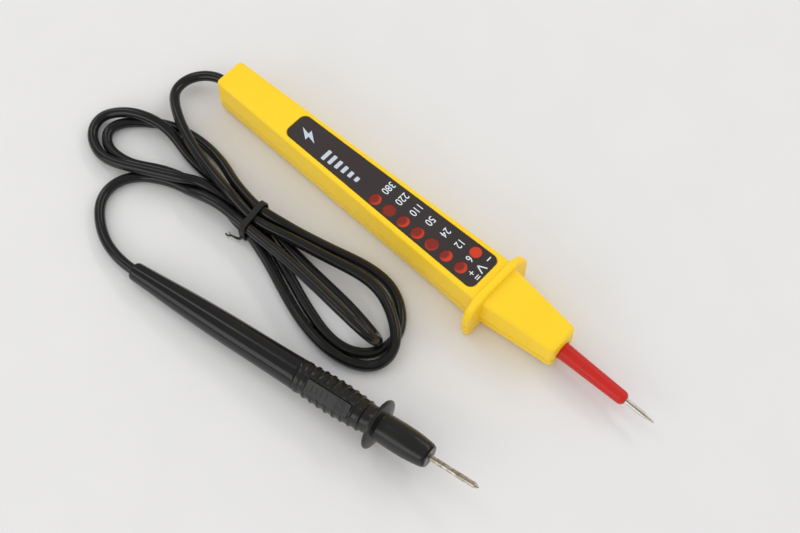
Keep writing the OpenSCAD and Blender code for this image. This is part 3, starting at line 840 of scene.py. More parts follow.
@dataclass
class Studio:
    """Floor, soft lights and the camera.

    Attributes:
        azimuth: The camera's direction round the object, in degrees.
        elevation: Its height above the floor, in degrees.
        roll: Its turn about its own view, in degrees.
        distance: Its distance from the point that it looks at, in metres.
        target: The point that it looks at.
        lens: Focal length in millimetres.
        room: How bright the room is.
        dimming: How much darker it is in reflections.
    """

    azimuth: float = 43.532
    elevation: float = 62.81
    roll: float = 1.131
    distance: float = 0.45977
    target: Triple = (0.030876, -0.010732, 0.0)
    lens: float = 60.0
    room: float = 0.9
    dimming: float = 0.58

    def camera(self) -> None:
        """Makes the scene's camera."""
        a, e, r = (math.radians(v) for v in (self.azimuth, self.elevation, self.roll))
        back = Vector((math.sin(a) * math.cos(e), -math.cos(a) * math.cos(e), math.sin(e)))
        level = Vector((math.cos(a), math.sin(a), 0))
        upright = back.cross(level)
        right = math.cos(r) * level - math.sin(r) * upright
        up = math.sin(r) * level + math.cos(r) * upright
        data = bpy.data.cameras.new("camera")
        data.lens, data.sensor_width = self.lens, 36.0
        data.clip_start, data.clip_end = 0.01, 20.0
        camera = bpy.data.objects.new("camera", data)
        bpy.context.scene.collection.objects.link(camera)
        place = Vector(self.target) + self.distance * back
        camera.matrix_world = Matrix((
            (right.x, up.x, back.x, place.x), (right.y, up.y, back.y, place.y),
            (right.z, up.z, back.z, place.z), (0, 0, 0, 1)))
        bpy.context.scene.camera = camera
        log.info("camera placed")

    def floor(self) -> None:
        """Makes the pale table top."""
        deselect()
        bpy.ops.mesh.primitive_plane_add(size=6.0, location=(0, 0, -0.00002))
        table = bpy.context.object
        table.name = "table"
        paper = Finish("table_paper", "table", (0.745, 0.742, 0.742), (0.725, 0.722, 0.722),
                       gloss=(0.75, 0.85), grain=(260.0, 0.6, 0.4), relief=0.0001)
        table.data.materials.append(paper.material())

    def lamp(self, name: str, place: Triple, size: Pair, power: float, tint: Triple) -> None:
        """Hangs a soft box that faces the object.

        Args:
            name: Its name.
            place: Where it hangs, in metres.
            size: Its width and height, in metres.
            power: Its power in watts.
            tint: Its colour.
        """
        data = bpy.data.lights.new(name, "AREA")
        data.shape, data.size, data.size_y = "RECTANGLE", *size
        data.energy, data.color = power, tint
        lamp = bpy.data.objects.new(name, data)
        bpy.context.scene.collection.objects.link(lamp)
        lamp.location = place
        lamp.rotation_euler = (-Vector(place)).to_track_quat("-Z", "Y").to_euler()

    def light(self) -> None:
        """Lights the scene with soft boxes and a pale room."""
        world = bpy.data.worlds.new("room")
        world.use_nodes = True
        sky = world.node_tree.nodes["Background"]
        sky.inputs["Color"].default_value = (1.0, 0.995, 0.99, 1)
        tree = Tree(world.node_tree)
        glossy = tree.add("LightPath").outputs["Is Glossy Ray"]
        strength = tree.math("SUBTRACT", self.room, tree.math("MULTIPLY", glossy, self.dimming))
        world.node_tree.links.new(strength, sky.inputs["Strength"])
        bpy.context.scene.world = world
        self.lamp("key_strip", (0.35, 1.05, 0.95), (1.3, 0.13), 3.0, (1.0, 0.99, 0.98))
        self.lamp("side_box", (-0.9, 0.05, 0.9), (0.25, 0.9), 1.2, (0.98, 0.99, 1.0))
        self.lamp("fill_box", (-0.25, -1.15, 0.5), (1.4, 0.6), 3.8, (1.0, 0.99, 0.985))
        scene = bpy.context.scene
        scene.view_settings.view_transform = "Standard"


# ---------------------------------------------------------------- lead

ROUTE: tuple[Triple, ...] = (
    # out of the rear face and up to the tie
    (-0.0625, 0, 0.0064), (-0.0688, -0.0005, 0.006), (-0.0744, -0.0033, 0.005),
    (-0.0778, -0.0082, 0.0042), (-0.0773, -0.014, 0.0044), (-0.0732, -0.0184, 0.0053),
    (-0.0678, -0.0217, 0.0063), (-0.0619, -0.0245, 0.0069), (-0.0557, -0.0268, 0.0073),
    (-0.0494, -0.0286, 0.0075), (-0.043, -0.0301, 0.0078), (-0.0362, -0.0315, 0.0086),
    (-0.0293, -0.0328, 0.0095), (-0.023, -0.0335, 0.0086), (-0.017, -0.0335, 0.007),
    # first loop on the right
    (-0.0107, -0.0327, 0.0069), (-0.0043, -0.0312, 0.0071), (0.0019, -0.0297, 0.0069),
    (0.0082, -0.0283, 0.0067), (0.0145, -0.0268, 0.0064), (0.0208, -0.0253, 0.0062),
    (0.0272, -0.0243, 0.0061), (0.0336, -0.0246, 0.0063), (0.0397, -0.0265, 0.0065),
    (0.0453, -0.0296, 0.0065), (0.05, -0.0337, 0.006), (0.0522, -0.039, 0.0043),
    (0.0504, -0.0443, 0.0025), (0.0456, -0.0481, 0.0022), (0.0397, -0.0502, 0.003),
    (0.0333, -0.0508, 0.0033), (0.0267, -0.0501, 0.0028), (0.0201, -0.0487, 0.0023),
    (0.0138, -0.0468, 0.002), (0.0077, -0.0447, 0.0021), (0.0016, -0.0425, 0.0023),
    (-0.0044, -0.0405, 0.0027), (-0.0106, -0.0388, 0.0031), (-0.0165, -0.0375, 0.003),
    # first loop on the left
    (-0.0237, -0.0366, 0.0021), (-0.0303, -0.0352, 0.002), (-0.0365, -0.0353, 0.0019),
    (-0.0429, -0.0363, 0.0019), (-0.0494, -0.0373, 0.0019), (-0.0557, -0.0393, 0.0019),
    (-0.0616, -0.0423, 0.0019), (-0.0673, -0.0453, 0.0019), (-0.0736, -0.0467, 0.0019),
    (-0.0797, -0.0459, 0.002), (-0.0836, -0.0419, 0.0024), (-0.0827, -0.0363, 0.0021),
    (-0.0785, -0.0316, 0.0019), (-0.0733, -0.0277, 0.002), (-0.0674, -0.0248, 0.0021),
    (-0.0611, -0.0232, 0.0021), (-0.0546, -0.0226, 0.0021), (-0.0481, -0.023, 0.0024),
    (-0.0418, -0.0243, 0.0034), (-0.0358, -0.0263, 0.0048), (-0.0295, -0.0281, 0.0061),
    (-0.0233, -0.0292, 0.0068), (-0.0175, -0.0295, 0.007),
    # second loop on the right
    (-0.0105, -0.0284, 0.0064), (-0.004, -0.0269, 0.0053), (0.0022, -0.0252, 0.0043),
    (0.0084, -0.0233, 0.0033), (0.0146, -0.0214, 0.0026), (0.0209, -0.0197, 0.0022),
    (0.0274, -0.0188, 0.0021), (0.0338, -0.0192, 0.0021), (0.0398, -0.0215, 0.002),
    (0.0449, -0.0255, 0.002), (0.0482, -0.0308, 0.0019), (0.0484, -0.0371, 0.0019),
    (0.0454, -0.0426, 0.0019), (0.0401, -0.0459, 0.0019), (0.0339, -0.0469, 0.0019),
    (0.0275, -0.0462, 0.0019), (0.0212, -0.0446, 0.0019), (0.015, -0.0427, 0.0019),
    (0.0088, -0.0405, 0.002), (0.0026, -0.0384, 0.002), (-0.0037, -0.0364, 0.0022),
    (-0.0101, -0.0347, 0.0025), (-0.017, -0.0335, 0.003),
    # second loop on the left
    (-0.0225, -0.0333, 0.0041), (-0.0285, -0.0341, 0.0056), (-0.0353, -0.0348, 0.006),
    (-0.0416, -0.0362, 0.0067), (-0.0471, -0.0394, 0.0075), (-0.0527, -0.0422, 0.0071),
    (-0.0586, -0.0449, 0.0064), (-0.0649, -0.0476, 0.0053), (-0.0712, -0.0499, 0.0042),
    (-0.0777, -0.0506, 0.0031), (-0.0838, -0.0489, 0.0023), (-0.0885, -0.0451, 0.0023),
    (-0.0895, -0.0398, 0.0031), (-0.086, -0.0352, 0.0046), (-0.0807, -0.0319, 0.006),
    (-0.0748, -0.0295, 0.0061), (-0.0685, -0.0282, 0.0053), (-0.0622, -0.0284, 0.0041),
    (-0.0559, -0.0295, 0.0029), (-0.0495, -0.0302, 0.0022), (-0.043, -0.0303, 0.002),
    (-0.0365, -0.03, 0.002), (-0.03, -0.0296, 0.0021), (-0.0236, -0.0293, 0.0025),
    (-0.0175, -0.0295, 0.003),
    # the fold that stands up on the right
    (-0.0106, -0.0303, 0.0026), (-0.004, -0.0315, 0.0024), (0.0026, -0.0323, 0.0022),
    (0.0091, -0.0329, 0.0021), (0.0156, -0.0333, 0.002), (0.0222, -0.0337, 0.002),
    (0.0287, -0.0342, 0.002), (0.0353, -0.0351, 0.0022), (0.0416, -0.0364, 0.0032),
    (0.046, -0.0383, 0.0064), (0.0462, -0.0405, 0.0113), (0.0418, -0.0416, 0.0145),
    (0.0355, -0.0414, 0.015), (0.0291, -0.0408, 0.0142), (0.0227, -0.04, 0.0131),
    (0.0163, -0.0393, 0.0118), (0.0099, -0.0386, 0.0106), (0.0034, -0.0381, 0.0094),
    (-0.0031, -0.0378, 0.0084), (-0.0097, -0.0376, 0.0074), (-0.0165, -0.0375, 0.007),
    # from the tie to the probe
    (-0.0227, -0.0375, 0.0069), (-0.0288, -0.0379, 0.0075), (-0.0353, -0.0389, 0.0068),
    (-0.0422, -0.0399, 0.0045), (-0.0487, -0.0411, 0.0034), (-0.0547, -0.0433, 0.0027),
    (-0.0603, -0.0465, 0.002), (-0.0643, -0.0515, 0.0021), (-0.0655, -0.0578, 0.0023),
    (-0.0635, -0.0637, 0.0022), (-0.059, -0.0683, 0.002), (-0.0533, -0.0717, 0.0021),
    (-0.0471, -0.0738, 0.0027), (-0.0406, -0.0746, 0.0032), (-0.034, -0.0743, 0.0036))
TIE_POINT = 130


def spline(points: np.ndarray, start: np.ndarray, finish: np.ndarray,
           step: float) -> tuple[np.ndarray, np.ndarray]:
    """One smooth curve through points, with set headings at its ends.

    Args:
        points: The points, one a row.
        start: The heading at the first point.
        finish: The heading at the last one.
        step: The distance between two samples.

    Returns:
        The samples, and how far along each of them is.
    """
    gaps = np.sqrt(np.linalg.norm(np.diff(points, axis=0), axis=1))
    knots = np.concatenate([[0.0], np.cumsum(gaps)])
    n = len(points)
    pace = np.linalg.norm(np.diff(points, axis=0), axis=1) / gaps
    slopes = np.diff(points, axis=0) / gaps[:, None]
    system = np.zeros((n, n))
    right = np.zeros((n, 3))
    for i in range(1, n - 1):
        system[i, i - 1], system[i, i + 1] = gaps[i - 1], gaps[i]
        system[i, i] = 2 * (gaps[i - 1] + gaps[i])
        right[i] = 6 * (slopes[i] - slopes[i - 1])
    system[0, 0], system[0, 1] = 2 * gaps[0], gaps[0]
    right[0] = 6 * (slopes[0] - start * pace[0])
    system[-1, -1], system[-1, -2] = 2 * gaps[-1], gaps[-1]
    right[-1] = 6 * (finish * pace[-1] - slopes[-1])
    bends = np.linalg.solve(system, right)
    fine = np.linspace(0.0, knots[-1], 9000)
    i = np.clip(np.searchsorted(knots, fine, side="right") - 1, 0, n - 2)
    a, b, h = knots[i + 1] - fine, fine - knots[i], gaps[i]
    curve = ((bends[i] * (a ** 3)[:, None] + bends[i + 1] * (b ** 3)[:, None]) / (6 * h[:, None])
             + (points[i] / h[:, None] - bends[i] * h[:, None] / 6) * a[:, None]
             + (points[i + 1] / h[:, None] - bends[i + 1] * h[:, None] / 6) * b[:, None])
    along = np.concatenate([[0.0], np.cumsum(np.linalg.norm(np.diff(curve, axis=0), axis=1))])
    places = np.linspace(0.0, along[-1], int(round(along[-1] / step)) + 1)
    return np.stack([np.interp(places, along, curve[:, k]) for k in range(3)], 1), places


def headings(path: np.ndarray) -> np.ndarray:
    """The direction of a path at each of its points.

    Args:
        path: The points, one a row.

    Returns:
        One unit vector a point.
    """
    ways = np.gradient(path, axis=0)
    return ways / np.linalg.norm(ways, axis=1)[:, None]


def swept(name: str, path: np.ndarray, section: np.ndarray, up: np.ndarray,
          sizes: np.ndarray | None = None, turns: np.ndarray | None = None,
          closed: bool = False) -> bpy.types.Object:
    """Sweeps a section along a path, without twisting it.

    Args:
        name: The object's name.
        path: The path's points, in metres.
        section: The section's points: across and up, in metres.
        up: The section's first up direction.
        sizes: The section's size at each point of the path.
        turns: An extra turn at each point of the path, in radians.
        closed: True if the path is a ring.

    Returns:
        The new object.
    """
    ways = headings(path)
    if closed:
        ways = np.roll(path, -1, axis=0) - np.roll(path, 1, axis=0)
        ways /= np.linalg.norm(ways, axis=1)[:, None]
    count, sides = len(path), len(section)
    verts = np.zeros((count, sides, 3))
    for i, way in enumerate(ways):
        up = up - (up @ way) * way
        up = up / np.linalg.norm(up)
        across = np.cross(way, up)
        a = 0.0 if turns is None else turns[i]
        size = 1.0 if sizes is None else sizes[i]
        x = section[:, :1] * math.cos(a) - section[:, 1:] * math.sin(a)
        y = section[:, :1] * math.sin(a) + section[:, 1:] * math.cos(a)
        verts[i] = path[i] + size * (x * across + y * up)
    last = count if closed else count - 1
    faces = [(i * sides + k, i * sides + (k + 1) % sides,
              (i + 1) % count * sides + (k + 1) % sides, (i + 1) % count * sides + k)
             for i in range(last) for k in range(sides)]
    if not closed:
        faces += [tuple(range(sides - 1, -1, -1)),
                  tuple((count - 1) * sides + k for k in range(sides))]
    mesh = bpy.data.meshes.new(name)
    mesh.from_pydata(verts.reshape(-1, 3).tolist(), [], faces)
    obj = bpy.data.objects.new(name, mesh)
    bpy.context.scene.collection.objects.link(obj)
    deselect()
    obj.select_set(True)
    bpy.context.view_layer.objects.active = obj
    bpy.ops.object.mode_set(mode="EDIT")
    bpy.ops.mesh.select_all(action="SELECT")
    bpy.ops.mesh.normals_make_consistent(inside=False)
    bpy.ops.object.mode_set(mode="OBJECT")
    bpy.ops.object.shade_smooth_by_angle(angle=math.radians(40))
    return obj


@dataclass
class Lead:
    """The lead, folded into a hank, and the tie round it.

    Attributes:
        diameter: The lead's diameter, in metres.
        sides: How many sides its skin has.
        step: Distance between two rings of its skin.
    """

    diameter: float = 0.0038
    sides: int = 20
    step: float = 0.0012
    tie: bpy.types.Object | None = field(default=None, init=False)

    def build(self) -> None:
        """Makes the lead and its tie."""
        self.tie = self.make_tie()
        pitch, yaw = math.radians(TestProbe.pitch), math.radians(TestProbe.yaw)
        into_probe = np.array([math.cos(pitch) * math.cos(yaw), math.cos(pitch) * math.sin(yaw),
                               math.sin(pitch)])
        route = np.array(ROUTE)
        path, along = spline(route, np.array([-1.0, 0, 0]), into_probe, self.step)
        path[:, 2] = np.maximum(path[:, 2], self.diameter / 2 + 0.00002)
        angles = np.arange(self.sides) * 2 * math.pi / self.sides
        section = self.diameter / 2 * np.stack([np.cos(angles), np.sin(angles)], 1)
        lead = swept("lead", path, section, np.array([0.0, 0, 1]))
        lead.data.materials.append(LEAD_BLACK.material())
        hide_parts("lead_hank", "lead_tail")
        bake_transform(lead)
        self.weigh(path, along, route[TIE_POINT])
        log.info("lead: %.4f m long", along[-1])

    def weigh(self, path: np.ndarray, along: np.ndarray,
              tie: np.ndarray) -> None:
        """Works out how far each ring would follow the probe: not at all up to the tie, then
        smoothly; the result is not used.

        Args:
            path: Its middle line.
            along: How far along each ring is.
            tie: Where the last run leaves the tie.
        """
        late = along > 0.8 * along[-1]
        start = along[late][np.linalg.norm(path[late] - tie, axis=1).argmin()]
        share = np.clip((along - start) / (along[-1] - start), 0, 1)
        share = share * share * (3 - 2 * share)

    def make_tie(self) -> bpy.types.Object:
        """The ridged strip twisted round the six runs.

        Returns:
            The finished tie.
        """
        half_w, half_h, corner, turn = 6.9, 4.5, 2.6, math.radians(8)
        corners = ((1, 1, 0), (-1, 1, 90), (-1, -1, 180), (1, -1, 270))
        loop: list[Pair] = []
        for sx, sz, start in corners:
            loop += arc((sx * (half_w - corner), sz * (half_h - corner)), corner, start,
                        start + 90, 10)
        ring = np.array([(-y * math.sin(turn), y * math.cos(turn), z) for y, z in loop])
        ring = (ring + np.array([-17.0, -33.5, 5.0])) * 0.001
        axis = np.array([math.cos(turn), math.sin(turn), 0.0])
        band = swept("twist_tie", ring, self.strip(2.3, 0.6), axis, closed=True)
        tail = np.array([[-15.95, -40.3, 3.9], [-16.4, -40.7, 2.8], [-17.6, -41.3, 2.0],
                         [-19.2, -41.6, 1.6], [-20.6, -41.8, 1.5], [-21.8, -41.4, 1.8]]) * 0.001
        path, along = spline(tail, np.array([-0.5, -0.8, -0.3]), np.array([-0.9, 0.4, 0.3]), 0.0003)
        share = along / along[-1]
        tail_strip = swept("tie_tail", path, self.strip(1.3, 0.5), np.array([0.2, -1.0, 0.2]),
                           sizes=1.0 - 0.6 * share, turns=1.9 * share)
        nub = np.array([[-20.2, -41.8, 1.5], [-21.4, -42.5, 1.1], [-22.6, -42.4, 0.8]]) * 0.001
        wire_path, _ = spline(nub, np.array([-0.8, -0.6, 0]), np.array([-1.0, 0.3, -0.3]), 0.0002)
        angles = np.arange(10) * 2 * math.pi / 10
        wire = swept("tie_wire", wire_path, 0.0003 * np.stack([np.cos(angles), np.sin(angles)], 1),
                     np.array([0.0, 0, 1]))
        deselect()
        for obj in (tail_strip, wire, band):
            obj.select_set(True)
        bpy.context.view_layer.objects.active = band
        bpy.ops.object.join()
        return settle(band, "twist_tie_strip", Body.TESTER, TIE_GREY, ["twist_tie"])

    @staticmethod
    def strip(width: float, thickness: float) -> np.ndarray:
        """Section of the tie: a flat strip with three rounded ridges.

        Args:
            width: Its width, in millimetres.
            thickness: Its thickness, in millimetres.

        Returns:
            The section's points, in metres.
        """
        across = np.linspace(-width / 2, width / 2, 25)
        ridges = thickness / 2 * (0.62 + 0.38 * np.abs(np.cos(
            (across / width + 0.5) * 3 * math.pi - math.pi / 2)) ** 0.7)
        ridges[[0, -1]] = thickness * 0.12
        low = -thickness / 2 * np.ones_like(across)
        low[[0, -1]] = -thickness * 0.12
        outline = np.concatenate([np.stack([ridges, across], 1),
                                  np.stack([low, across], 1)[::-1]])
        return outline * 0.001


# ---------------------------------------------------------------- housing


@dataclass
class Housing:
    """The two yellow shells, with the finger guard and the nose.

    Attributes:
        length: The handle's length, from its rear face to the guard.
        height: The handle's thickness.
        seam: Height of the parting line.
        rear_width: The handle's width at its rear.
        front_width: Its width at the guard.
        nose_length: Length from the guard's rear face to the nose's end.
        nose_width: The nose's width at its end.
        draft: How much each half narrows away from the seam, on each side.
        wall: Thickness of the walls.
        guard_width: The finger guard's width.
        guard_height: Its height.
        guard_thickness: Its thickness.
        label: The label's rear end, front end, half widths there, and corner radius.
        screws: Where the screws stand.
        posts: Where the board's posts stand.
        gap: Half the height of the groove along the seam.
    """

    length: float = 125.0
    height: float = 16.4
    seam: float = 6.4
    rear_width: float = 13.4
    front_width: float = 20.0
    nose_length: float = 31.0
    nose_width: float = 12.6
    draft: float = 0.5
    wall: float = 1.6
    guard_width: float = 31.0
    guard_height: float = 18.2
    guard_thickness: float = 3.0
    label: tuple[float, float, float, float, float] = (-29.0, 59.6, 5.2, 7.3, 2.6)
    screws: tuple[Pair, ...] = ((-46.0, 2.8), (72.0, 0.0))
    posts: tuple[Pair, ...] = ((-33.0, 3.6), (-33.0, -3.6), (0.5, 0.0), (57.0, 0.0))
    gap: float = 0.2

    @property
    def rear(self) -> float:
        """Place of the rear face.

        Returns:
            The place along the tester.
        """
        return -self.length / 2

    @property
    def guard(self) -> float:
        """Place of the guard's rear face.

        Returns:
            The place along the tester.
        """
        return self.length / 2

    @property
    def nose_end(self) -> float:
        """Place of the nose's end.

        Returns:
            The place along the tester.
        """
        return self.guard + self.nose_length

    def half_width(self, x: float) -> float:
        """Half the handle's width at the seam.

        Args:
            x: The place along the tester.

        Returns:
            The half width.
        """
        return ramp(self.rear_width, self.front_width, (x - self.rear) / self.length) / 2

    def nose_half(self, x: float) -> float:
        """Half the nose's width at the seam.

        Args:
            x: The place along the tester.

        Returns:
            The half width.
        """
        return ramp(self.front_width - 1, self.nose_width, (x - self.guard) / self.nose_length) / 2

    def wedge(self, x0: float, x1: float, half0: float, half1: float, top: Pair,
              bottom: Pair) -> Workpiece:
        """A tapered block that is widest at the seam.

        Args:
            x0: Its rear end.
            x1: Its front end.
            half0: Half its width at the seam, at the rear.
            half1: The same at the front.
            top: Height of its top at the rear and at the front.
            bottom: Height of its bottom at the rear and at the front.

        Returns:
            The block.
        """
        block = Workpiece.block((x0, -1, 0), (x1, 1, 2))
        block.slice((0, 0, 1), (0, 0, 1))
        for x, half, low, high in ((x0, half0, bottom[0], top[0]), (x1, half1, bottom[1], top[1])):
            block.stretch((1, half, 1), (x, 0, 0),
                          lambda v, x=x: abs(v.x - x) < 1e-3 and abs(v.z - 1) < 0.5)
            block.stretch((1, half - self.draft, 1), (x, 0, 0),
                          lambda v, x=x: abs(v.x - x) < 1e-3 and abs(v.z - 1) > 0.5)
            block.move((0, 0, high - 2), lambda v, x=x: abs(v.x - x) < 1e-3 and v.z > 1.5)
            block.move((0, 0, low), lambda v, x=x: abs(v.x - x) < 1e-3 and v.z < 0.5)
            block.move((0, 0, self.seam - 1),
                       lambda v, x=x: abs(v.x - x) < 1e-3 and abs(v.z - 1) < 1e-3)
        return block

    def handle_block(self) -> Workpiece:
        """The handle as one rounded block.

        Returns:
            The block.
        """
        block = self.wedge(self.rear, self.guard + 1.2, self.half_width(self.rear),
                           self.half_width(self.guard + 1.2), (self.height, self.height), (0, 0))
        block.round_edges(1.7, 6, lambda a, b: a.x < self.rear + 0.01 and b.x < self.rear + 0.01
                          and abs(a.z - b.z) > 1)
        block.round_edges(1.35, 6, lambda a, b: a.z > self.height - 0.01
                          and b.z > self.height - 0.01 and min(a.x, b.x) < self.guard)
        block.round_edges(2.5, 7, lambda a, b: a.z < 0.01 and b.z < 0.01
                          and min(a.x, b.x) < self.guard)
        return block

    def nose_block(self) -> Workpiece:
        """The nose as one rounded block.

        Returns:
            The block.
        """
        end = self.nose_end
        block = self.wedge(self.guard + 1.2, end, self.nose_half(self.guard + 1.2),
                           self.nose_half(end), (16.2, 14.8), (0.2, 1.3))
        block.round_edges(1.8, 7, lambda a, b: a.x > end - 0.01 and b.x > end - 0.01
                          and abs(a.z - b.z) > 1)
        block.round_edges(1.5, 6, lambda a, b: min(a.z, b.z) > 13 and max(a.x, b.x) > 70)
        block.round_edges(2.0, 6, lambda a, b: max(a.z, b.z) < 2 and max(a.x, b.x) > 70)
        return block

    def guard_plate(self) -> Workpiece:
        """The finger guard, with broad shoulders and a soft rim.

        Returns:
            The plate.
        """
        half = self.guard_width / 2
        low, high = self.guard, self.guard + self.guard_thickness
        plate = Workpiece.block((low, -half, 0), (high, half, self.guard_height))
        plate.round_edges(8.8, 12, lambda a, b: abs(a.x - b.x) > 1 and a.z > 10)
        plate.round_edges(2.0, 8, lambda a, b: abs(a.x - b.x) > 1 and a.z < 1 and b.z < 1)
        for x in (low, high):
            plate.round_edges(1.05, 5, lambda a, b, x=x: abs(a.x - x) < 1e-3
                              and abs(b.x - x) < 1e-3)
        return plate

    def outside(self) -> Workpiece:
        """The whole housing as one solid, with soft inner corners at the guard.

        Returns:
            The solid.
        """
        body = self.handle_block()
        body.combine(self.guard_plate(), Join.ADD)
        body.combine(self.nose_block(), Join.ADD)
        front = self.guard + self.guard_thickness

        def at_foot(a: Vector, b: Vector, x: float, reach: float) -> bool:
            """True on the line where the handle or the nose meets the guard.

            Args:
                a: One end of an edge.
                b: Its other end.
                x: Place of the guard's face.
                reach: How far from the middle the line may be.

            Returns:
                Whether the edge is on the line.
            """
            return (abs(a.x - x) < 0.01 and abs(b.x - x) < 0.01 and min(a.z, b.z) > 1.6
                    and max(abs(a.y), abs(b.y)) < reach)

        body.round_edges(0.62, 4, lambda a, b: at_foot(a, b, self.guard, 10.4))
        body.round_edges(0.8, 4, lambda a, b: at_foot(a, b, front, 9.8))
        return body

    def label_cutter(self) -> Workpiece:
        """The recess of the label, as a solid to cut away.

        Returns:
            The solid to cut away.
        """
        rear, front, rear_half, front_half, corner = self.label
        cutter = Workpiece.block((rear - 0.18, -1, self.height - 0.45), (front + 0.18, 1, 20))
        for x, half in ((rear, rear_half), (front, front_half)):
            cutter.stretch((1, half + 0.18, 1), (x, 0, 0), lambda v, x=x: abs(v.x - x) < 1)
        cutter.round_edges(corner, 8, lambda a, b: abs(a.z - b.z) > 1)
        return cutter

    def hollow_cutters(self) -> list[Workpiece]:
        """The room inside both shells, as solids to cut away.

        Returns:
            The solids to cut away.
        """
        back, front = self.rear + self.wall, self.nose_end - 7
        room = Workpiece.block((back, -1, self.wall), (self.guard + 0.5, 1, self.height - 2))
        for x, half in ((back, self.half_width(back)),
                        (self.guard + 0.5, self.half_width(self.guard))):
            room.stretch((1, half - self.wall, 1), (x, 0, 0), lambda v, x=x: abs(v.x - x) < 1)
        tip = Workpiece.block((self.guard - 1, -1, 2.4), (front, 1, 13.2))
        for x in (self.guard - 1, front):
            half = self.nose_half(max(x, self.guard)) - self.wall - 0.2
            tip.stretch((1, half, 1), (x, 0, 0), lambda v, x=x: abs(v.x - x) < 1)
        return [room, tip]

    def end_cutters(self) -> list[Workpiece]:
        """The holes of the lead and of the sleeve.

        Returns:
            The solids to cut away.
        """
        return [Workpiece.drum((self.rear, 0, self.seam), 2.08, 6, 40, along_x=True),
                Workpiece.drum((self.nose_end - 3.4, 0, self.seam), 3.3, 9.5, 48, along_x=True)]

    def seam_step(self, shell: Workpiece, side: int) -> None:
        """Cuts one shell free along the parting line, with a shallow step round its outer edge.

        Args:
            shell: The whole housing, of which one shell is kept.
            side: 1 for the upper shell, -1 for the lower one.
        """
        level = self.seam + side * self.gap
        shell.slice((0, 0, level), (0, 0, 1), keep_front=side > 0)
        with shell.editing(Pick.FACE):
            shell.pick(Pick.FACE, lambda c, n: abs(c.z - level) < 0.01 and abs(n.z) > 0.99)
            bpy.ops.mesh.inset(thickness=0.28, depth=0.0)
            bpy.ops.mesh.extrude_region_move(
                TRANSFORM_OT_translate={"value": (0, 0, -side * self.gap)})

    def upper_shell(self, whole: Workpiece) -> None:
        """Makes the upper shell.

        Args:
            whole: The whole housing, which is used up.
        """
        shell = whole
        self.seam_step(shell, 1)
        shell.combine_all(self.hollow_cutters(), Join.CUT)
        shell.combine_all([Workpiece.drum((x, y, 10.6), 2.6, 8.4) for x, y in self.screws],
                          Join.ADD)
        shell.combine_all(self.end_cutters(), Join.CUT)
        shell.combine(self.label_cutter(), Join.CUT)
        top = self.height
        shell.round_edges(0.14, 3, lambda a, b: abs(a.z - top) < 0.005 and abs(b.z - top) < 0.005
                          and max(abs(a.y), abs(b.y)) < 7.6
                          and -29.5 < min(a.x, b.x) and max(a.x, b.x) < 60.2)
        holes = [*lamp_places(), POLARITY_LAMP]
        shell.combine_all([Workpiece.drum((x, y, top - 2), 2.7, 5) for x, y in holes], Join.CUT)
        shell.combine_all([Workpiece.drum((x, y, 8.5), 1.15, 4.8) for x, y in self.screws],
                          Join.CUT)
        shell.hand_over("upper_housing", Body.TESTER, YELLOW, ["upper_shell"])

    def lower_shell(self, whole: Workpiece) -> None:
        """Makes the lower shell, with its screw seats.

        Args:
            whole: The whole housing, which is used up.
        """
        shell = whole
        self.seam_step(shell, -1)
        shell.combine_all(self.hollow_cutters(), Join.CUT)
        shell.combine_all([Workpiece.drum((x, y, 3.7), 3.6, 5.4) for x, y in self.screws],
                          Join.ADD)
        shell.combine_all([Workpiece.drum((x, y, 3), 1.2, 4, 24) for x, y in self.posts], Join.ADD)
        shell.combine_all(self.end_cutters(), Join.CUT)
        shell.combine_all([Workpiece.drum((x, y, 0.6), 2.5, 3.2) for x, y in self.screws],
                          Join.CUT)

        def on_rim(v: Vector) -> bool:
            """True on the outer rim of a screw's seat.

            Args:
                v: A vertex's place.

            Returns:
                Whether it is on a rim.
            """
            return v.z < 0.6 and any(abs(math.hypot(v.x - x, v.y - y) - 2.5) < 0.02
                                     for x, y in self.screws)

        shell.round_edges(0.25, 3, lambda a, b: on_rim(a) and on_rim(b))
        shell.combine_all([Workpiece.drum((x, y, 4), 1.3, 8) for x, y in self.screws], Join.CUT)
        shell.hand_over("lower_housing", Body.TESTER, YELLOW, ["lower_shell"])

    def build(self) -> None:
        """Makes both shells."""
        whole = self.outside()
        self.lower_shell(whole.twin())
        self.upper_shell(whole)


# ---------------------------------------------------------------- markings


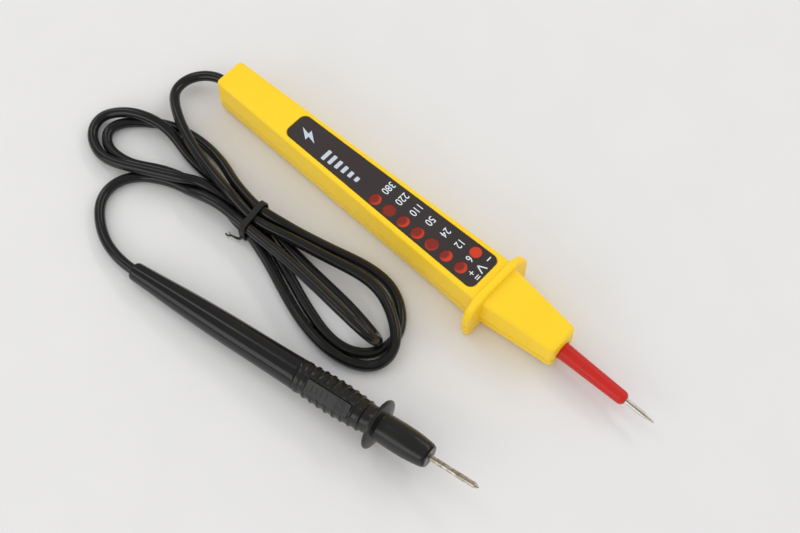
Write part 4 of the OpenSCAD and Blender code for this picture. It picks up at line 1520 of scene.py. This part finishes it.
@dataclass
class Markings:
    """Scale numbers, polarity signs and plain symbols printed on the label.

    Attributes:
        top: Height of the label's face.
        thickness: Thickness of the ink.
        height: Height of the numbers.
        squeeze: How narrow the numbers are set.
        windows: Radius of the window over each lamp.
    """

    top: float = 16.3
    thickness: float = 0.02
    height: float = 2.95
    squeeze: float = 0.82
    windows: tuple[float, ...] = (2.22, 2.42, 2.25, 2.36, 2.4, 2.25, 2.28, 2.2)
    numbers: tuple[tuple[str, float, float], ...] = (
        ("380", 13.45, 2.7), ("220", 19.8, 2.7), ("110", 26.25, 2.55), ("50", 32.65, 2.75),
        ("24", 39.35, 2.85), ("12", 45.7, 2.65), ("6", 51.85, 0.75),
        ("+", 55.75, -2.75))

    def label(self, outline: tuple[float, float, float, float, float]) -> None:
        """Makes the label, with a window over each lamp.

        Args:
            outline: Its rear end, front end, half widths there, and corner radius.
        """
        rear, front, rear_half, front_half, corner = outline
        sheet = Workpiece.block((rear, -1, self.top - 0.2), (front, 1, self.top))
        for x, half in ((rear, rear_half), (front, front_half)):
            sheet.stretch((1, half, 1), (x, 0, 0), lambda v, x=x: abs(v.x - x) < 1)
        sheet.round_edges(corner, 10, lambda a, b: abs(a.z - b.z) > 0.1)
        places = [*lamp_places(), POLARITY_LAMP]
        sheet.combine_all([Workpiece.drum((x, y, self.top), r, 2, 40)
                           for (x, y), r in zip(places, self.windows)], Join.CUT)
        sheet.hand_over("label_sheet", Body.TESTER, LABEL, ["face_label"])

    def word(self, text: str, x: float, y: float) -> Workpiece:
        """One number, read with the needle up.

        Args:
            text: What it says.
            x: Its middle along the tester.
            y: Its middle across the tester.

        Returns:
            The number as a thin solid.
        """
        deselect()
        bpy.ops.object.text_add()
        obj = bpy.context.object
        obj.data.body = text
        obj.data.size = self.height / 0.72
        obj.data.align_x = "CENTER"
        obj.data.offset = 0.0 if text == "+" else 0.004
        obj.data.extrude = self.thickness / 2
        obj.data.resolution_u = 6
        bpy.ops.object.convert(target="MESH")
        piece = Workpiece(bpy.context.object)
        corners = np.array([v.co for v in piece.obj.data.vertices])
        middle = (corners.min(0) + corners.max(0)) / 2
        centred = Matrix.Translation((-middle[0], -middle[1], 0))
        squeeze = Matrix.Diagonal((self.squeeze, 1, 1, 1))
        turn = Matrix.Rotation(-math.pi / 2, 4, "Z")
        place = Matrix.Translation((x, y, self.top + self.thickness / 2))
        return piece.placed(place @ turn @ squeeze @ centred)

    def bar(self, x: float, y: float, size: Pair, lean: float = 0.0) -> Workpiece:
        """A printed bar.

        Args:
            x: Its middle along the tester.
            y: Its middle across the tester.
            size: Its sizes along and across the tester.
            lean: Its turn, in degrees.

        Returns:
            The bar, with slightly soft corners.
        """
        bar = Workpiece.block((-size[0] / 2, -size[1] / 2, self.top),
                              (size[0] / 2, size[1] / 2, self.top + self.thickness))
        bar.round_edges(min(size) * 0.2, 2, lambda a, b: abs(a.z - b.z) > self.thickness / 2)
        turn = Matrix.Rotation(math.radians(lean), 4, "Z")
        return bar.placed(Matrix.Translation((x, y, 0)) @ turn)

    def bolt(self, x: float, y: float, size: float) -> Workpiece:
        """A plain lightning sign made of two wedges that point away from each other.

        Args:
            x: Its middle along the tester.
            y: Its middle across the tester.
            size: Its length.

        Returns:
            The sign.
        """
        upper = Workpiece.block((-0.06 * size, -0.03 * size, self.top),
                                (0.5 * size, 0.27 * size, self.top + self.thickness))
        upper.stretch((1, 0.03, 1), (0, -0.15 * size, 0), lambda v: v.x > 0.3 * size)
        lower = upper.twin().placed(Matrix.Rotation(math.pi, 4, "Z"))
        upper.combine(lower, Join.ADD)
        return upper.placed(Matrix.Translation((x, y, 0)))

    def build(self) -> None:
        """Makes the label and prints the scale and the signs."""
        self.label(Housing.label)
        scale = [self.word(*entry) for entry in self.numbers]
        scale += [self.bar(56.95, 1.37, (3.5, 0.44), 25.2),
                  self.bar(56.98, 0.07, (3.4, 0.44), -19.9),
                  self.bar(56.6, 5.1, (0.42, 2.0)), self.bar(57.9, -2.55, (0.36, 1.9)),
                  self.bar(58.7, -2.55, (0.36, 1.9))]
        scale[0].join(scale[1:])
        scale[0].hand_over("scale_print", Body.TESTER, INK)
        signs = [self.bar(3.0 - i * 2.9, -2.0, (1.5, 2.0 + 0.5 * i)) for i in range(6)]
        signs.append(self.bolt(-21.8, -0.3, 7.6))
        signs[0].join(signs[1:])
        signs[0].hand_over("sign_print", Body.TESTER, SILVER_INK)


# ---------------------------------------------------------------- needle end


@dataclass
class NeedleEnd:
    """The red sleeve and the needle in it.

    Attributes:
        axis: Height of their axis.
        nose: Place of the nose's end.
        sleeve_end: Place of the sleeve's end.
        tip: Place of the needle's tip.
    """

    axis: float = 6.4
    nose: float = 93.5
    sleeve_end: float = 119.9
    tip: float = 131.1

    def sleeve(self) -> None:
        """Makes the tapered sleeve, with its collar inside the nose."""
        root, end = self.nose - 7.1, self.sleeve_end
        profile = [(root - 2.3, 0.82), (root - 2.3, 3.7), (root - 2.0, 4.0), (root - 0.3, 4.0),
                   (root, 3.7), (root, 3.05), (self.nose - 0.4, 3.05), (self.nose + 0.4, 3.04)]
        profile += [(ramp(self.nose + 0.4, end - 2.0, t), ramp(3.04, 2.46, t ** 0.9))
                    for t in (0.15, 0.3, 0.45, 0.6, 0.75, 0.9, 1.0)]
        profile += [(end - 2.0 + 2.0 * math.sin(a), 0.76 + 1.7 * math.cos(a))
                    for a in (math.radians(15 * i) for i in range(1, 6))]
        profile += [(end, 1.0), (end - 0.25, 0.86), (end - 1.2, 0.81)]
        piece = Workpiece.turned([*profile, (root - 2.0, 0.81)], 72)
        piece.placed(Matrix.Translation((0, 0, self.axis)))
        piece.hand_over("red_sleeve", Body.TESTER, SLEEVE_RED, ["needle_sleeve"])

    def needle(self) -> None:
        """Makes the needle, with its point ground flat on one side."""
        straight, start = self.tip - 5, self.sleeve_end + 0.05
        profile = [(79.0, 0.65), (79.15, 0.8), (start - 0.3, 0.8), (start, 0.8),
                   (start + 0.02, 1.0)]
        profile += [(ramp(start + 0.02, straight, t), 1.0) for t in (0.25, 0.5, 0.75, 1.0)]
        profile += [(ramp(straight, self.tip, t), ramp(1.0, 0.26, t ** 1.25))
                    for t in (0.2, 0.4, 0.6, 0.8, 0.95)]
        profile += [(self.tip, 0.14)]
        piece = Workpiece.turned(profile, 40)
        slope = math.radians(10)
        piece.slice((self.tip, -0.1, 0), (-math.sin(slope), math.cos(slope), 0), keep_front=True)
        piece.placed(Matrix.Translation((0, 0, self.axis)))
        piece.hand_over("needle", Body.TESTER, NICKEL, ["tester_needle"])

    def build(self) -> None:
        """Makes both pieces."""
        self.sleeve()
        self.needle()


# ---------------------------------------------------------------- probe


@dataclass
class TestProbe:
    """The loose probe, made along X from the lead to the point.

    Attributes:
        place: Where its rear end is, in millimetres.
        pitch: How far its point is tipped up, in degrees.
        yaw: Its turn on the table, in degrees.
        handle_length: Length of the smooth rear handle.
        guard: Middle of the guard disc.
        nose: End of the nose.
        tip: The needle's point.
        panel_turn: How far the grip's flat panel faces away from the top, in degrees.
        crests: Place and radius of each rib.
        waists: The grip's radius before the first rib and after each of them.
    """

    place: Triple = (-34.0, -74.3, 3.6)
    pitch: float = 3.05
    yaw: float = 7.85
    handle_length: float = 71.5
    guard: float = 102.2
    nose: float = 121.5
    tip: float = 140.3
    panel_turn: float = 35.0
    crests: tuple[Pair, ...] = ((75.8, 5.78), (78.85, 5.91), (81.8, 6.01), (84.8, 6.06),
                                (87.75, 5.98), (90.75, 5.85), (93.7, 5.65), (96.75, 5.42))
    waists: tuple[float, ...] = (5.24, 5.4, 5.56, 5.58, 5.62, 5.5, 5.4, 5.18, 4.92)

    def matrix(self) -> Matrix:
        """Where the probe lies, in millimetres.

        Returns:
            The place and turn.
        """
        return (Matrix.Translation(self.place) @ Matrix.Rotation(math.radians(self.yaw), 4, "Z")
                @ Matrix.Rotation(math.radians(-self.pitch), 4, "Y"))

    def handle(self) -> None:
        """Makes the polished rear handle."""
        end = self.handle_length
        profile = [(0.4, 2.05), (0.0, 2.15), (0.0, 2.7), (0.12, 3.0), (0.4, 3.2), (0.8, 3.3),
                   (1.4, 3.36), (4, 3.47), (8, 3.66), (12, 3.88), (16, 4.11), (20, 4.33),
                   (25, 4.56), (30, 4.75), (35, 4.91), (40, 5.03), (46, 5.12), (53, 5.18),
                   (60, 5.24), (66, 5.34), (end - 0.9, 5.44), (end - 0.35, 5.42),
                   (end - 0.05, 5.22), (end - 0.05, 4.2), (end - 7.3, 4.2), (end - 7.3, 2.5),
                   (29, 2.5), (29, 2.05)]
        piece = Workpiece.turned([*profile, (0.5, 2.05)], 80)
        piece.placed(self.matrix())
        piece.hand_over("probe_rear_handle", Body.PROBE, PROBE_GLOSS, ["probe_handle"])

    def rib_profile(self) -> list[Pair]:
        """Outline of the ribbed grip, from the seam to the guard.

        Returns:
            (place, radius) of each ring.
        """
        outline: list[Pair] = []
        for (centre, crest), before, after in zip(self.crests, self.waists, self.waists[1:]):
            outline += [(centre - 0.75, before), (centre - 0.45, crest - 0.2),
                        (centre - 0.18, crest), (centre + 0.18, crest),
                        (centre + 0.48, crest - 0.2), (centre + 0.78, after)]
        return outline

    def grip(self) -> None:
        """Makes the ribbed grip with its guard disc and barrel nose."""
        seam, guard, nose = self.handle_length, self.guard, self.nose
        profile = [(seam - 7, 1.0), (seam - 7, 3.9), (seam - 6.8, 4.1), (seam + 0.02, 4.1),
                   (seam + 0.02, 5.3), (seam + 0.15, 5.5), (seam + 0.45, 5.6), (seam + 1.5, 5.6),
                   (seam + 1.85, 5.48), (seam + 2.2, 5.24)]
        profile += self.rib_profile()
        profile += [(guard - 3, 4.86), (guard - 2, 4.9), (guard - 1.5, 5.1), (guard - 1.2, 5.6),
                    (guard - 1.02, 6.6), (guard - 0.8, 8.1), (guard - 0.62, 8.55),
                    (guard - 0.3, 8.82), (guard, 8.88), (guard + 0.3, 8.82), (guard + 0.58, 8.55),
                    (guard + 0.76, 8.1), (guard + 1.1, 6.4), (guard + 1.25, 5.5),
                    (guard + 1.45, 5.1), (guard + 1.8, 5.0)]
        profile += [(guard + x, r) for x, r in ((4, 5.03), (6, 5.08), (8, 5.11), (10, 5.1),
                                                (12, 5.03), (14, 4.88), (16, 4.66), (17.8, 4.42))]
        profile += [(nose - 0.8, 4.3), (nose - 0.3, 4.18), (nose, 3.95), (nose, 3.0),
                    (nose - 0.3, 2.9), (nose - 4.1, 2.9)]
        piece = Workpiece.turned([*profile, (nose - 4.1, 1.0)], 96)
        piece.combine(self.on_flat(Workpiece.block((76.3, -2.62, 4.4), (93.2, 2.62, 8))), Join.CUT)
        piece.combine(self.panel(), Join.ADD)
        piece.placed(self.matrix())
        piece.hand_over("probe_ribbed_grip", Body.PROBE, PROBE_MATTE, ["probe_grip"], 28.0)

    def panel(self) -> Workpiece:
        """The flat panel that interrupts the ribs, with a nested square on it.

        Returns:
            The panel, turned to its side of the grip.
        """
        panel = Workpiece.block((76.2, -2.5, 4.2), (93.3, 2.5, 5.5))
        panel.round_edges(0.5, 3, lambda a, b: abs(a.z - b.z) > 1)
        panel.round_edges(0.2, 3, lambda a, b: a.z > 5.4 and b.z > 5.4)
        raised = [Workpiece.block((78.2 + i * 1.9, -1.1, 5.4), (78.7 + i * 1.9, 1.1, 5.66))
                  for i in range(4)]
        raised += self.frame_bars(89.6, 1.5) + self.frame_bars(89.6, 0.8)
        panel.combine_all(raised, Join.ADD)
        return self.on_flat(panel)

    def on_flat(self, piece: Workpiece) -> Workpiece:
        """Turns a piece from the top of the grip to the side where the panel is.

        Args:
            piece: The piece, made on top of the grip.

        Returns:
            The same piece.
        """
        return piece.placed(Matrix.Rotation(math.radians(self.panel_turn), 4, "X"))

    @staticmethod
    def frame_bars(x: float, half: float) -> list[Workpiece]:
        """The four raised bars of a square.

        Args:
            x: The square's middle.
            half: Half its side.

        Returns:
            The bars.
        """
        t = 0.16
        return [Workpiece.block((x - half, s * half - t, 5.4), (x + half, s * half + t, 5.66))
                for s in (-1, 1)] + [
            Workpiece.block((x + s * half - t, -half - t, 5.4), (x + s * half + t, half + t, 5.66))
            for s in (-1, 1)]

    def bush(self) -> None:
        """Makes the bush in the nose's end."""
        n = self.nose
        profile = [(n - 4, 0.82), (n - 4, 2.8), (n - 0.2, 2.8), (n + 0.05, 2.95), (n + 0.05, 3.7),
                   (n + 0.15, 3.85), (n + 0.4, 3.85), (n + 0.6, 3.6), (n + 0.68, 2.6),
                   (n + 0.55, 1.7), (n + 0.5, 1.1)]
        piece = Workpiece.turned([*profile, (n + 0.3, 0.82)], 64)
        piece.placed(self.matrix())
        piece.hand_over("probe_front_bush", Body.PROBE, PROBE_GLOSS, ["probe_bush"])

    def needle(self) -> None:
        """Makes the probe's needle, with its blunt cone."""
        n, straight = self.nose + 0.72, self.tip - 1.8
        profile = [(97.0, 0.65), (97.2, 0.8), (n, 0.8), (n + 0.05, 1.0)]
        profile += [(ramp(n + 0.05, straight, t), 1.0) for t in (0.2, 0.4, 0.6, 0.8, 1.0)]
        profile += [(self.tip - 1.4, 0.94), (self.tip - 0.6, 0.56), (self.tip - 0.2, 0.34),
                    (self.tip, 0.14)]
        piece = Workpiece.turned(profile, 40)
        piece.placed(self.matrix())
        piece.hand_over("probe_needle_pin", Body.PROBE, WORN_NICKEL, ["probe_needle"])

    def build(self) -> None:
        """Makes the probe's visible pieces."""
        self.handle()
        self.grip()
        self.bush()
        self.needle()


def dress_cad() -> None:
    """Gives each CAD node that stays in the model its finish."""
    for name, finish in CAD_FINISHES.items():
        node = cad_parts[name]
        node.data.materials.clear()
        node.data.materials.append(finish.material())
    log.info("%d CAD nodes dressed", len(CAD_FINISHES))


def main() -> None:
    """Builds the scene, camera and lead first."""
    logging.basicConfig(level=logging.INFO, format="%(name)s: %(message)s")
    studio = Studio()
    studio.camera()
    Lead().build()
    studio.floor()
    studio.light()
    dress_cad()
    for assembly in (Housing(), Markings(), NeedleEnd(), TestProbe()):
        assembly.build()
        log.info("%s built", type(assembly).__name__)
    deselect()


if __name__ == "__main__":
    main()
